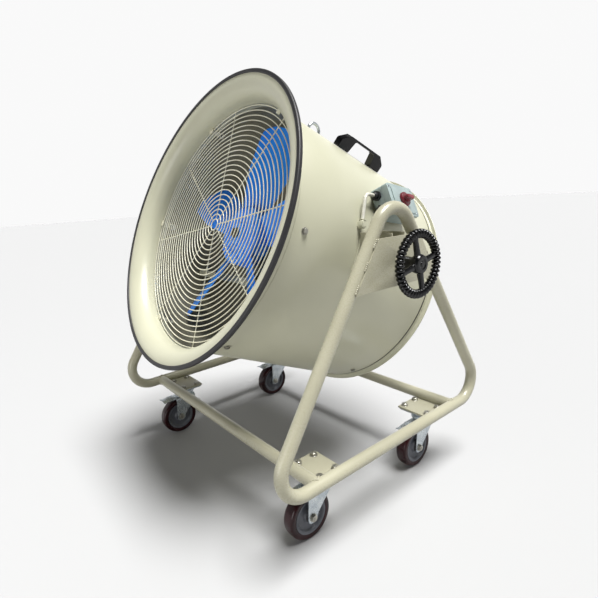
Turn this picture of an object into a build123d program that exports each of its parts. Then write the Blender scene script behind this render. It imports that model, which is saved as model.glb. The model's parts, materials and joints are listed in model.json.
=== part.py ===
"""Tilting drum fan on a wheeled tubular stand.

Millimetres, +Z up. The origin lies on the floor, midway between the four casters and below the
tilt axis. The inlet bell faces -Y, and the clamping handwheel is on the +X side.
The drum is shown tipped back by its rest tilt, with the bell looking slightly upwards.
"""

from build123d import *
from math import cos, radians, sin, sqrt
import os

os.makedirs("parts", exist_ok=True)

# ---------------------------------------------------------------- driving dimensions
# Stand of bent tube
tube_diameter = 32
stand_gauge = 870  # between the centre planes of the two side frames
stand_length = 858  # rail length to its sharp corners
apex_rise = 179  # from the pivot up to the sharp corner at the top
bend_radius = 64  # of the tube's centre line
bend_chords = 3  # straight steps round each bend
cross_tube_inset = 156  # from a rail's sharp corner
weld_gap = 0.1  # between pieces that are welded edge to edge

# Casters
caster_height = 169  # floor to the top of the caster's own plate
caster_inset = 72  # from a side frame's centre plane in to the swivel axis
caster_setback = 58  # from a cross tube in to the swivel axis
caster_trail = 39
wheel_diameter = 125
wheel_width = 36
wheel_sides = 48
wheel_side_gap = 2.5
axle_diameter = 12
axle_head_width = 19
axle_head_height = 8
mounting_plate_thickness = 6
mounting_plate_reach = 42  # past the swivel axis, along the rail
top_plate_size_x = 105
top_plate_size_y = 80
top_plate_thickness = 4
race_diameter = 56
race_sides = 24
bolt_spacing_x = 80
bolt_spacing_y = 52
plate_nut_width = 17
plate_nut_height = 9
fork_sheet = 3.5
fork_crown_drop = 32  # from the top of the caster's plate to the top of the fork's crown
fork_front = 22  # edge of the crown and the legs, ahead of the swivel axis
crown_rear = 30  # behind it
leg_rear = 50
leg_shoulder = 17  # depth of the legs' straight edges below the crown
axle_boss_radius = 15
axle_boss_flat = 7
kingpin_diameter = 14
pedal_width = 40
pedal_sheet = 4
pedal_reach = 56  # from its pivot to the toe
pedal_arch = 22  # from its pivot to the highest point
pedal_dip = 44  # from its pivot to the lowest point
pedal_rise = 8
pedal_pivot_height = 6  # above the wheel
shoe_length = 10
shoe_lift = 1.8  # over the wheel's highest point

# Tilt pivot
pivot_height = 658
pivot_plate_thickness = 3.5
pivot_plate_drop = 55  # below the pivot
pivot_plate_rise = 63  # above the pivot
plate_edge_inset = 2  # from the outermost line of the legs
sleeve_projection = 2  # of the sleeve, past the plate
channel_width = 50
channel_sheet = 4
channel_rise = 70  # above the pivot
channel_drop = 48  # below the pivot
sleeve_diameter = 34
spindle_diameter = 24
thread_diameter = 20
pivot_pad_size = 84
pivot_pad_thickness = 3.7
pad_sinking = 8  # into the curve of the drum
pivot_nut_width = 36
pivot_nut_height = 16
thread_projection = 6  # past the nut
running_clearance = 0.05
moving_gap = 0.3

# Drum
tilt = 24  # of the drum's axis above the horizontal
drum_diameter = 700
drum_wall = 3
seam_station = 253  # from the pivot to the joint of drum and bell
drum_length = 562
rear_lip_width = 12
bell_depth = 58
bell_flare_radius = 46
flare_steps = 2
bell_edge_radius = 404
trim_width = 18
trim_thickness = 3.5
guard_inset = 4  # from the seam back to the front of the front guard's spokes
guard_wire = 3.6
guard_pitch = 14.2
front_ring_count = 24
rear_guard_pitch = 57
rear_ring_count = 6
spoke_count = 8
spoke_offset = -10  # degrees from the top, towards +X
guard_bolt_offset = 29  # along the drum, from a guard to its bolts
clip_count = 6
clip_width = 18
clip_sheet = 2.4
clip_hook = 12  # over the guard's outer ring, and past the bolt
rear_guard_inset = 16  # from the drum's rear edge to the rear guard
guard_bolt_width = 13
guard_bolt_height = 6

# Motor and impeller
impeller_station = 140
blade_count = 5
first_blade_angle = 3  # degrees from the top, towards +X
blade_pitch = 36  # degrees between the blade and the plane of rotation
blade_sheet = 4
tip_gap = 12  # between the blade tips and the drum
blade_root_width = 88
blade_tip_width = 164
blade_corner_radius = 28
blade_shoulder = 130  # from the tip corners in to where the paddle narrows
blade_shoulder_narrowing = 8
blade_root_depth = 20  # into the hub before the root is cut
hub_diameter = 176
hub_length = 56
hub_boss_diameter = 64
hub_boss_length = 10
shaft_diameter = 28
shaft_reach = 8  # past the hub's boss
motor_diameter = 190
motor_length = 230
motor_fan_cover_length = 50
motor_clearance = 28  # between the hub and the motor
motor_centre_height = 112
motor_foot_width = 36
motor_foot_height = 55
motor_foot_spacing = 144
motor_foot_length = 140
motor_foot_setback = 40  # from the barrel's rear end
terminal_box_width = 64  # up and down
terminal_box_length = 74  # along the motor
terminal_box_depth = 34
terminal_box_setback = 20  # from the motor's front
motor_plate_sheet = 5
motor_plate_length = 180
motor_plate_flange = 22

# Things fastened on the drum
handle_angle = 28
handle_front = 41
handle_length = 181
handle_height = 44
handle_width = 28
handle_foot_length = 50
handle_grip = 8
handle_shoulder = 26
handle_shoulder_drop = 20
handle_inner_slope = 12
eye_outer_diameter = 54
eye_hole_diameter = 34
eye_thickness = 10
eye_height = 45  # hole centre above the drum
eye_collar_diameter = 36
eye_collar_height = 9
eye_station = 5
eye_neck_gap = 4  # from the hole to the neck
box_angle = 63.5
box_front = -2
box_length = 126
box_width = 84
box_cant = 16
box_base_height = 30
box_lid_height = 22
box_standoff = 6
box_mount_length = 96
box_mount_width = 60
box_corner_radius = 7
knob_diameter = 40
knob_height = 9
knob_grip_height = 13
knob_grip_width = 11
knob_grip_length = 36
gland_spacing = 40
gland_nut_width = 24
gland_nut_length = 7
gland_diameter = 19
gland_length = 18
lead_diameter = 9
lead_first_run = 34  # from the gland to the corner of the bend
lead_bend_radius = 36
elbow_angle = 78  # degrees from the top, towards +X
elbow_station = 50
elbow_length = 22  # round the drum
elbow_width = 20
elbow_height = 18
conduit_diameter = 16

# Handwheel
handwheel_diameter = 160
handwheel_rim = 22
handwheel_offset = 50  # from the face of the pivot sleeve to the middle of the rim
handwheel_ridge_count = 44
handwheel_hub_diameter = 46
handwheel_neck_diameter = 34
handwheel_neck_side_count = 24
handwheel_hub_length = 22
handwheel_hub_setback = 10  # behind the middle of the rim
handwheel_spoke_count = 4
handwheel_spoke_angle = 13
handwheel_spoke_width = 13
handwheel_spoke_thickness = 12

# ---------------------------------------------------------------- what follows from them
tube_radius = tube_diameter / 2
frame_x = stand_gauge / 2
apex_height = pivot_height + apex_rise
cross_y = stand_length / 2 - cross_tube_inset
caster_x = frame_x - caster_inset
caster_y = cross_y - caster_setback
rail_height = caster_height + tube_radius
wheel_radius = wheel_diameter / 2
drum_radius = drum_diameter / 2
bore_radius = drum_radius - drum_wall
rear_station = seam_station - drum_length
lip_station = seam_station + bell_depth
hub_front = impeller_station + hub_length / 2
hub_rear = impeller_station - hub_length / 2
motor_front = hub_rear - motor_clearance
plate_inner_x = frame_x + tube_radius
plate_outer_x = plate_inner_x + pivot_plate_thickness
pad_face_x = drum_radius + pivot_pad_thickness
channel_x = pad_face_x + moving_gap
sleeve_end_x = plate_outer_x + sleeve_projection
pivot_plate_bottom = pivot_height - pivot_plate_drop
pivot_plate_top = pivot_height + pivot_plate_rise

# The drum's own frame: X as the world's, Y towards the drum's top, Z along its axis to the bell
drum = Plane(
    origin=(0, 0, pivot_height), x_dir=(1, 0, 0), z_dir=(0, -cos(radians(tilt)), sin(radians(tilt)))
)
drum_axis = Axis(drum.origin, drum.z_dir)
half_section = Plane(origin=drum.origin, x_dir=drum.x_dir, z_dir=-drum.y_dir)


def spin_direction(angle):
    """Unit vector from the drum's axis, turned from the drum's top towards +X."""
    return drum.y_dir * cos(radians(angle)) + drum.x_dir * sin(radians(angle))


def skin_plane(angle, station, radius=drum_radius, cant=0):
    """Plane that touches the drum: X along it to the bell, Y round it, Z outwards."""
    outward = spin_direction(angle)
    along = drum.z_dir * cos(radians(cant)) + outward.cross(drum.z_dir) * sin(radians(cant))
    return Plane(origin=drum.origin + drum.z_dir * station + outward * radius, x_dir=along, z_dir=outward)


def save(piece, name):
    """Label a finished piece and write it."""
    piece.label = name
    export_step(piece, f"parts/{name}.step")


def turned(points, plane=half_section, axis=drum_axis):
    """Ring turned from a closed outline of (radius, station) points."""
    with BuildPart() as ring:
        with BuildSketch(plane):
            with BuildLine():
                Polyline(*points, close=True)
            make_face()
        revolve(axis=axis)
    return ring.part


# ---------------------------------------------------------------- stand
def chord_points(path, steps):
    """Corners of the path with each of its bends drawn as equal chords."""
    points = []
    for edge in path.wire().order_edges():
        count = steps if edge.geom_type == GeomType.CIRCLE else 1
        points += [edge.position_at(k / count) for k in range(count)]
    return points


def side_frame(x):
    """Closed triangle of round tube with three bends."""
    half = stand_length / 2
    with BuildLine(Plane.YZ.offset(x)) as smooth:
        FilletPolyline(
            (half, rail_height), (0, apex_height), (-half, rail_height), radius=bend_radius, close=True
        )
    with BuildPart() as frame:
        with BuildLine() as path:
            Polyline(*chord_points(smooth, bend_chords), close=True)
        start = path.edges().sort_by(SortBy.LENGTH)[-1]
        with BuildSketch(Plane(origin=start @ 0.5, z_dir=start % 0.5)):
            Circle(tube_radius)
        sweep(path=path.wire(), transition=Transition.RIGHT)
    return frame.part


def cross_tube(y):
    """Tube between the side frames, its ends cut to fit round their rails."""
    with BuildPart() as tube:
        with BuildSketch(Plane.YZ.offset(-frame_x)):
            with Locations((y, rail_height)):
                Circle(tube_radius)
        extrude(amount=stand_gauge)
        with BuildSketch(Plane.XZ.offset(-y - tube_diameter)):
            with Locations((-frame_x, rail_height), (frame_x, rail_height)):
                Circle(tube_radius + weld_gap)
        extrude(amount=2 * tube_diameter, mode=Mode.SUBTRACT)
    return tube.part


save(side_frame(-frame_x), "side_frame_left")
save(side_frame(frame_x), "side_frame_right")
save(cross_tube(-cross_y), "front_cross_tube")
save(cross_tube(cross_y), "rear_cross_tube")

# Each mounting plate lies in the corner of a rail and a cross tube and reaches both of them
tube_edge = sqrt(tube_radius**2 - (tube_radius - mounting_plate_thickness) ** 2) + weld_gap
plate_far_x = frame_x - tube_edge
plate_far_y = cross_y - tube_edge
plate_near_x = caster_x - top_plate_size_x / 2
plate_near_y = caster_y - mounting_plate_reach
corner_signs = [(-1, -1), (1, -1), (-1, 1), (1, 1)]
caster_points = [(i * caster_x, j * caster_y) for i, j in corner_signs]

with BuildPart() as mounting_plates:
    with BuildSketch(Plane.XY.offset(caster_height)):
        for i, j in corner_signs:
            with Locations((i * (plate_near_x + plate_far_x) / 2, j * (plate_near_y + plate_far_y) / 2)):
                Rectangle(plate_far_x - plate_near_x, plate_far_y - plate_near_y)
    extrude(amount=mounting_plate_thickness)
save(mounting_plates.part, "caster_mounting_plates")

with BuildPart() as plate_nuts:
    with BuildSketch(Plane.XY.offset(caster_height + mounting_plate_thickness)):
        for point in caster_points:
            with Locations(point):
                with GridLocations(bolt_spacing_x, bolt_spacing_y, 2, 2):
                    RegularPolygon(plate_nut_width / 2, 6, major_radius=False)
    extrude(amount=plate_nut_height)
save(plate_nuts.part, "caster_plate_nuts")

# ---------------------------------------------------------------- casters
crown_top = caster_height - fork_crown_drop
crown_underside = crown_top - fork_sheet
race_top = caster_height - top_plate_thickness
fork_gap = wheel_width / 2 + wheel_side_gap
pedal_pivot_z = wheel_diameter + pedal_pivot_height

with BuildPart() as top_plates:
    with BuildSketch(Plane.XY.offset(race_top)):
        with Locations(*caster_points):
            Rectangle(top_plate_size_x, top_plate_size_y)
    extrude(amount=top_plate_thickness)
    with BuildSketch(Plane.XY.offset(race_top)):
        with Locations(*caster_points):
            RegularPolygon(race_diameter / 2, race_sides)
    extrude(amount=crown_top + moving_gap - race_top)
    with BuildSketch(Plane.XY.offset(crown_underside)):
        with Locations(*caster_points):
            Circle(kingpin_diameter / 2)
    extrude(amount=crown_top - crown_underside + 2 * moving_gap)
save(top_plates.part, "caster_top_plates")


def caster_fork(x, y):
    """Pressed fork: a crown with a hole for the kingpin and two legs down to the axle bolt."""
    axle_y = y - caster_trail
    leg_foot = wheel_radius - axle_boss_radius
    with BuildPart() as fork:
        with BuildSketch(Plane.XY.offset(crown_underside)):
            with Locations((x, y + (fork_front - crown_rear) / 2)):
                Rectangle(2 * (fork_gap + fork_sheet), fork_front + crown_rear)
            with Locations((x, y)):
                Circle(kingpin_diameter / 2 + running_clearance, mode=Mode.SUBTRACT)
        extrude(amount=fork_sheet)
        for start in (x - fork_gap - fork_sheet, x + fork_gap):
            with BuildSketch(Plane.YZ.offset(start)):
                with BuildLine():
                    Polyline(
                        (y + fork_front, crown_top), (y + fork_front, crown_top - leg_shoulder),
                        (axle_y + axle_boss_radius, wheel_radius), (axle_y + axle_boss_flat, leg_foot),
                        (axle_y - axle_boss_flat, leg_foot), (axle_y - axle_boss_radius, wheel_radius),
                        (y - leg_rear, crown_top - leg_shoulder), (y - leg_rear, crown_top), close=True,
                    )
                make_face()
            extrude(amount=fork_sheet)
        with BuildSketch(Plane.YZ.offset(x - fork_gap)):
            with Locations((axle_y, wheel_radius)):
                Circle(axle_diameter / 2)
        extrude(amount=2 * fork_gap)
        for start in (x - fork_gap - fork_sheet - axle_head_height, x + fork_gap + fork_sheet):
            with BuildSketch(Plane.YZ.offset(start)):
                with Locations((axle_y, wheel_radius)):
                    RegularPolygon(axle_head_width / 2, 6, major_radius=False)
            extrude(amount=axle_head_height)
    return fork.part


def caster_wheel(x, y):
    """Wheel with a bore for the axle."""
    with BuildPart() as wheel:
        with BuildSketch(Plane.YZ.offset(x - wheel_width / 2)):
            with Locations((y - caster_trail, wheel_radius)):
                RegularPolygon(wheel_radius, wheel_sides)
                Circle(axle_diameter / 2 + running_clearance, mode=Mode.SUBTRACT)
        extrude(amount=wheel_width)
    return wheel.part


def brake_pedal(x, y):
    """Lever above the wheel, with a shoe that comes down on the tread."""
    start = y - caster_trail
    half = pedal_sheet / 2
    shoe_start = (pedal_arch - shoe_length) / 2 + half
    shoe_bottom = wheel_diameter + shoe_lift
    with BuildPart() as pedal:
        with BuildSketch(Plane.YZ.offset(x - pedal_width / 2)):
            with BuildLine():
                Polyline(
                    (start + half, pedal_pivot_z), (start + half, pedal_pivot_z + pedal_sheet),
                    (start - pedal_arch, pedal_pivot_z + pedal_rise), (start - pedal_dip, pedal_pivot_z + half),
                    (start - pedal_reach, pedal_pivot_z + pedal_sheet), (start - pedal_reach, pedal_pivot_z),
                    (start - pedal_dip, pedal_pivot_z - half), (start - pedal_arch, pedal_pivot_z + pedal_sheet),
                    (start - shoe_start - shoe_length, shoe_bottom), (start - shoe_start, shoe_bottom),
                    (start - shoe_start, pedal_pivot_z + half), close=True,
                )
            make_face()
        extrude(amount=pedal_width)
    return pedal.part


caster_names = ["front_left", "front_right", "rear_left", "rear_right"]
for name, (x, y) in zip(caster_names, caster_points):
    save(caster_fork(x, y), f"caster_fork_{name}")
    save(caster_wheel(x, y), f"caster_wheel_{name}")
    save(brake_pedal(x, y), f"brake_pedal_{name}")


# ---------------------------------------------------------------- tilt pivot on the stand
def leg_y(z):
    """Distance of a leg's centre line from the middle at a height."""
    return stand_length / 2 * (apex_height - z) / (apex_height - rail_height)


# Trapezoid on the outside of the two legs
with BuildPart() as pivot_plate:
    with BuildSketch(Plane.YZ.offset(plate_inner_x)):
        with BuildLine():
            Polyline(
                (plate_edge_inset - leg_y(pivot_plate_bottom), pivot_plate_bottom),
                (leg_y(pivot_plate_bottom) - plate_edge_inset, pivot_plate_bottom),
                (leg_y(pivot_plate_top) - plate_edge_inset, pivot_plate_top),
                (plate_edge_inset - leg_y(pivot_plate_top), pivot_plate_top), close=True,
            )
        make_face()
        with Locations((0, pivot_height)):
            Circle(sleeve_diameter / 2 + weld_gap, mode=Mode.SUBTRACT)
    extrude(amount=pivot_plate_thickness)
    mirror(about=Plane.YZ)
save(pivot_plate.part, "pivot_plates")

# Channel from the plate in to the drum, open to the plate
channel_height = channel_rise + channel_drop
channel_middle = pivot_height + (channel_rise - channel_drop) / 2
with BuildPart() as pivot_channel:
    with BuildSketch(Plane.YZ.offset(channel_x)):
        with Locations((0, channel_middle)):
            Rectangle(channel_width, channel_height)
    extrude(amount=plate_inner_x - channel_x - weld_gap)
    with BuildSketch(Plane.YZ.offset(channel_x + channel_sheet)):
        with Locations((0, channel_middle)):
            Rectangle(channel_width - 2 * channel_sheet, channel_height)
    extrude(amount=plate_inner_x - channel_x, mode=Mode.SUBTRACT)
    with BuildSketch(Plane.YZ.offset(channel_x)):
        with Locations((0, pivot_height)):
            Circle(sleeve_diameter / 2 + weld_gap)
    extrude(amount=channel_sheet, mode=Mode.SUBTRACT)
    mirror(about=Plane.YZ)
save(pivot_channel.part, "pivot_channels")

with BuildPart() as pivot_sleeves:
    with BuildSketch(Plane.YZ.offset(channel_x)):
        with Locations((0, pivot_height)):
            Circle(sleeve_diameter / 2)
            Circle(spindle_diameter / 2 + running_clearance, mode=Mode.SUBTRACT)
    extrude(amount=sleeve_end_x - channel_x)
    mirror(about=Plane.YZ)
save(pivot_sleeves.part, "pivot_sleeves")

# ---------------------------------------------------------------- drum
save(
    turned([
        (bore_radius, seam_station), (drum_radius, seam_station),
        (drum_radius, rear_station + drum_wall), (drum_radius + rear_lip_width, rear_station + drum_wall),
        (drum_radius + rear_lip_width, rear_station), (bore_radius, rear_station),
    ]),
    "drum_shell",
)

flare_start = lip_station - bell_flare_radius
flare_x = bore_radius + bell_flare_radius


def flare(radius):
    """Points of the quarter round between the bore and the lip, on one side of the sheet."""
    turns = [radians(90 * k / flare_steps) for k in range(flare_steps + 1)]
    return [(flare_x - radius * cos(turn), flare_start + radius * sin(turn)) for turn in turns]


bell = turned(
    [(bore_radius, seam_station), *flare(bell_flare_radius), (bell_edge_radius, lip_station)]
    + [(bell_edge_radius, lip_station - drum_wall), *reversed(flare(bell_flare_radius - drum_wall))]
    + [(drum_radius, seam_station)]
)
save(bell, "bell_mouth")

trim_outer = bell_edge_radius + weld_gap + trim_thickness
trim_inner = trim_outer - trim_width
save(
    turned([
        (trim_inner, lip_station + weld_gap), (trim_outer, lip_station + weld_gap),
        (trim_outer, lip_station + trim_thickness), (trim_inner, lip_station + trim_thickness),
    ]),
    "bell_edge_trim",
)


# ---------------------------------------------------------------- guards
def ring_sides(radius):
    """More sides on the larger rings."""
    return 8 * max(1, round(radius / 125))


def guard(station, facing, pitch, ring_count):
    """Wire rings on the outer side of radial spokes; facing is +1 at the bell and -1 at the rear."""
    outer = bore_radius - clip_sheet - moving_gap
    spoke_end = outer - guard_wire / 4
    first_spoke = 90 - spoke_offset
    with BuildPart() as wires:
        for i in range(ring_count):
            radius = outer - i * pitch
            with BuildSketch(drum.offset(station)):
                RegularPolygon(radius, ring_sides(radius), rotation=first_spoke)
                RegularPolygon(radius - guard_wire, ring_sides(radius), rotation=first_spoke, mode=Mode.SUBTRACT)
            extrude(amount=facing * guard_wire)
        inner = outer - (ring_count - 1) * pitch - guard_wire
        with BuildSketch(drum.offset(station)):
            with PolarLocations((inner + spoke_end) / 2, spoke_count, start_angle=first_spoke):
                Rectangle(spoke_end - inner, guard_wire)
        extrude(amount=-facing * guard_wire)
    return wires.part


front_guard_station = seam_station - guard_inset
rear_guard_station = rear_station + rear_guard_inset
save(guard(front_guard_station, 1, guard_pitch, front_ring_count), "front_guard")
save(guard(rear_guard_station, -1, rear_guard_pitch, rear_ring_count), "rear_guard")

clip_angles = [(k + 0.5) * 360 / clip_count for k in range(clip_count)]
clip_top = sqrt(bore_radius**2 - (clip_width / 2) ** 2) - weld_gap


def guard_clips(station, facing):
    """Hooks that hold a guard's outer ring against the inside of the drum."""
    front = station + facing * (guard_wire + weld_gap)
    back = station - facing * (guard_bolt_offset + clip_hook)
    with BuildPart() as clips:
        for angle in clip_angles:
            outward = spin_direction(angle)
            plane = Plane(origin=drum.origin, x_dir=outward, z_dir=outward.cross(drum.z_dir))
            with BuildSketch(plane.offset(-clip_width / 2)):
                with BuildLine():
                    Polyline(
                        (clip_top, back), (clip_top, front + facing * clip_sheet),
                        (clip_top - clip_hook, front + facing * clip_sheet), (clip_top - clip_hook, front),
                        (clip_top - clip_sheet, front), (clip_top - clip_sheet, back), close=True,
                    )
                make_face()
            extrude(amount=clip_width)
    return clips.part


save(guard_clips(front_guard_station, 1), "front_guard_clips")
save(guard_clips(rear_guard_station, -1), "rear_guard_clips")

with BuildPart() as guard_bolts:
    for station in (front_guard_station - guard_bolt_offset, rear_guard_station + guard_bolt_offset):
        for angle in clip_angles:
            with BuildSketch(skin_plane(angle, station)):
                RegularPolygon(guard_bolt_width / 2, 6, major_radius=False)
            extrude(amount=guard_bolt_height)
save(guard_bolts.part, "guard_bolts")

# ---------------------------------------------------------------- motor and its plate
motor_rear = motor_front - motor_length
with BuildPart() as motor:
    with BuildSketch(half_section):
        with BuildLine():
            Polyline(
                (0, motor_rear - motor_fan_cover_length), (motor_diameter / 2, motor_rear - motor_fan_cover_length),
                (motor_diameter / 2, motor_front), (0, motor_front), close=True,
            )
        make_face()
    revolve(axis=drum_axis)
    with BuildSketch(drum.offset(motor_rear + motor_foot_setback)):
        with Locations((0, -motor_centre_height + motor_foot_height / 2)):
            with GridLocations(motor_foot_spacing, 1, 2, 1):
                Rectangle(motor_foot_width, motor_foot_height)
    extrude(amount=motor_foot_length)
save(motor.part, "motor")

with BuildPart() as motor_plate:
    with BuildSketch(drum.offset(motor_front - motor_plate_length)):
        with Locations((0, -motor_centre_height - weld_gap - motor_plate_sheet / 2)):
            Rectangle(drum_diameter, motor_plate_sheet)
    extrude(amount=motor_plate_length)
    with BuildSketch(drum.offset(motor_front)):
        with Locations((0, -motor_centre_height - weld_gap - motor_plate_flange / 2)):
            Rectangle(drum_diameter, motor_plate_flange)
    extrude(amount=-motor_plate_sheet)
    with BuildSketch(drum.offset(rear_station)):
        Circle(bore_radius - weld_gap)
    extrude(amount=drum_length, mode=Mode.INTERSECT)
save(motor_plate.part, "motor_plate")

# ---------------------------------------------------------------- impeller
tip_radius = bore_radius - tip_gap
hub_radius = hub_diameter / 2
save(
    turned([
        (shaft_diameter / 2 + weld_gap, hub_rear), (hub_radius, hub_rear), (hub_radius, hub_front),
        (hub_boss_diameter / 2, hub_front), (hub_boss_diameter / 2, hub_front + hub_boss_length),
        (shaft_diameter / 2 + weld_gap, hub_front + hub_boss_length),
    ]),
    "impeller_hub",
)

with BuildPart() as shaft:
    with BuildSketch(drum.offset(motor_front + moving_gap)):
        Circle(shaft_diameter / 2)
    extrude(amount=hub_front + hub_boss_length + shaft_reach - motor_front - moving_gap)
save(shaft.part, "motor_shaft")


def blade(angle):
    """Flat paddle set at the blade pitch, its root cut to the hub and its tip to the drum."""
    outward = spin_direction(angle)
    around = outward.cross(drum.z_dir)
    chord = around * cos(radians(blade_pitch)) - drum.z_dir * sin(radians(blade_pitch))
    plane = Plane(origin=drum.origin + drum.z_dir * impeller_station, x_dir=outward, z_dir=outward.cross(chord))
    corner_x = sqrt(tip_radius**2 - (blade_tip_width / 2 * cos(radians(blade_pitch))) ** 2)
    shoulder_x = corner_x - blade_shoulder
    shoulder_width = blade_tip_width - blade_shoulder_narrowing
    root_x = hub_radius - blade_root_depth
    with BuildPart() as paddle:
        with BuildSketch(plane.offset(-blade_sheet / 2)) as outline:
            with BuildLine():
                Polyline(
                    (corner_x, blade_tip_width / 2), (shoulder_x, shoulder_width / 2),
                    (root_x, blade_root_width / 2), (root_x, -blade_root_width / 2),
                    (shoulder_x, -shoulder_width / 2), (corner_x, -blade_tip_width / 2),
                )
                ThreePointArc(
                    (corner_x, -blade_tip_width / 2), (tip_radius, 0), (corner_x, blade_tip_width / 2)
                )
            make_face()
            fillet(outline.vertices().sort_by(Axis.X)[-2:], blade_corner_radius)
        extrude(amount=blade_sheet)
        with BuildSketch(drum.offset(hub_rear - hub_length)):
            Circle(hub_radius + weld_gap)
        extrude(amount=3 * hub_length, mode=Mode.SUBTRACT)
    return paddle.part


for k in range(blade_count):
    save(blade(first_blade_angle + k * 360 / blade_count), f"impeller_blade_{k + 1}")

# ---------------------------------------------------------------- pivot spindles on the drum
handwheel_x = sleeve_end_x + handwheel_offset
with BuildPart() as pivot_spindles:
    for side in (-1, 1):
        reach_x = handwheel_x if side > 0 else sleeve_end_x + pivot_nut_height + thread_projection
        with BuildSketch(Plane.YZ.offset(side * (drum_radius - pad_sinking))):
            with Locations((0, pivot_height)):
                Rectangle(pivot_pad_size, pivot_pad_size, rotation=-tilt)
        extrude(amount=side * (pivot_pad_thickness + pad_sinking))
        with BuildSketch(Plane.YZ.offset(side * pad_face_x)):
            with Locations((0, pivot_height)):
                Circle(spindle_diameter / 2)
        extrude(amount=side * (sleeve_end_x - pad_face_x))
        with BuildSketch(Plane.YZ.offset(side * sleeve_end_x)):
            with Locations((0, pivot_height)):
                Circle(thread_diameter / 2)
        extrude(amount=side * (reach_x - sleeve_end_x))
    with BuildSketch(drum.offset(-drum_length / 2)):
        Circle(drum_radius)
    extrude(amount=drum_length, mode=Mode.SUBTRACT)
    with BuildSketch(Plane.YZ.offset(-sleeve_end_x - moving_gap)):
        with Locations((0, pivot_height)):
            RegularPolygon(pivot_nut_width / 2, 6, major_radius=False)
    extrude(amount=-pivot_nut_height)
save(pivot_spindles.part, "pivot_spindles")

# ---------------------------------------------------------------- handwheel
rim_mean_radius = (handwheel_diameter - handwheel_rim) / 2
with BuildPart() as handwheel:
    with BuildSketch(Plane.YZ.offset(handwheel_x - handwheel_rim / 2)):
        with Locations((0, pivot_height)):
            RegularPolygon(handwheel_diameter / 2, handwheel_ridge_count)
            RegularPolygon(handwheel_diameter / 2 - handwheel_rim, handwheel_ridge_count, mode=Mode.SUBTRACT)
    extrude(amount=handwheel_rim)
    with BuildSketch(Plane.YZ.offset(handwheel_x - handwheel_spoke_thickness / 2)):
        with Locations((0, pivot_height)):
            with PolarLocations(rim_mean_radius / 2, handwheel_spoke_count, start_angle=handwheel_spoke_angle):
                Rectangle(rim_mean_radius, handwheel_spoke_width)
    extrude(amount=handwheel_spoke_thickness)
    with BuildSketch(Plane.YZ.offset(sleeve_end_x + moving_gap)):
        with Locations((0, pivot_height)):
            RegularPolygon(handwheel_neck_diameter / 2, handwheel_neck_side_count)
    extrude(amount=handwheel_offset)
    with BuildSketch(Plane.YZ.offset(handwheel_x - handwheel_hub_setback)):
        with Locations((0, pivot_height)):
            RegularPolygon(handwheel_hub_diameter / 2, handwheel_neck_side_count)
    extrude(amount=handwheel_hub_length)
    with BuildSketch(Plane.YZ.offset(sleeve_end_x + moving_gap)):
        with Locations((0, pivot_height)):
            Circle(thread_diameter / 2 + weld_gap)
    extrude(amount=handwheel_offset, mode=Mode.SUBTRACT)
save(handwheel.part, "tilt_handwheel")

# ---------------------------------------------------------------- handle and lifting eye
handle_side = Plane(
    origin=drum.origin, x_dir=drum.z_dir, z_dir=drum.z_dir.cross(spin_direction(handle_angle))
)
with BuildPart() as handle:
    front, back = handle_front, handle_front - handle_length
    foot_front, foot_back = front - handle_foot_length, back + handle_foot_length
    grip_bottom = drum_radius + handle_height - handle_grip
    with BuildSketch(handle_side.offset(-handle_width / 2)):
        with BuildLine():
            Polyline(
                (front, drum_radius), (front, drum_radius + handle_height - handle_shoulder_drop),
                (front - handle_shoulder, drum_radius + handle_height),
                (back + handle_shoulder, drum_radius + handle_height),
                (back, drum_radius + handle_height - handle_shoulder_drop), (back, drum_radius),
                (foot_back, drum_radius), (foot_back + handle_inner_slope, grip_bottom),
                (foot_front - handle_inner_slope, grip_bottom), (foot_front, drum_radius), close=True,
            )
        make_face()
    extrude(amount=handle_width)
save(handle.part, "pull_handle")

eye_plane = Plane(
    origin=drum.origin + drum.z_dir * eye_station + drum.y_dir * (drum_radius + eye_height),
    x_dir=drum.z_dir, z_dir=(1, 0, 0),
)
with BuildPart() as lifting_eye:
    with BuildSketch(eye_plane.offset(-eye_thickness / 2)):
        Circle(eye_outer_diameter / 2)
        Circle(eye_hole_diameter / 2, mode=Mode.SUBTRACT)
    extrude(amount=eye_thickness)
    with BuildSketch(skin_plane(0, eye_station)):
        Rectangle(eye_collar_diameter / 2, eye_thickness)
    extrude(amount=eye_height - eye_hole_diameter / 2 - eye_neck_gap)
    with BuildSketch(skin_plane(0, eye_station)):
        RegularPolygon(eye_collar_diameter / 2, 12)
    extrude(amount=eye_collar_height)
save(lifting_eye.part, "lifting_eye")

# ---------------------------------------------------------------- isolator box
box_station = box_front - box_length / 2
with BuildPart() as box_mount:
    with BuildSketch(skin_plane(box_angle, box_station, drum_radius + box_standoff, box_cant)):
        Rectangle(box_mount_length, box_mount_width)
    extrude(amount=-3 * box_standoff)
    with BuildSketch(drum.offset(rear_station)):
        Circle(drum_radius)
    extrude(amount=drum_length, mode=Mode.SUBTRACT)
save(box_mount.part, "isolator_mount")

with BuildPart() as box_base:
    with BuildSketch(skin_plane(box_angle, box_station, drum_radius + box_standoff, box_cant)):
        RectangleRounded(box_length, box_width, box_corner_radius)
    extrude(amount=box_base_height)
save(box_base.part, "isolator_base")

box_face_radius = drum_radius + box_standoff + box_base_height + box_lid_height
with BuildPart() as box_lid:
    with BuildSketch(skin_plane(box_angle, box_station, box_face_radius - box_lid_height, box_cant)):
        RectangleRounded(box_length, box_width, box_corner_radius)
    extrude(amount=box_lid_height)
save(box_lid.part, "isolator_lid")

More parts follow.
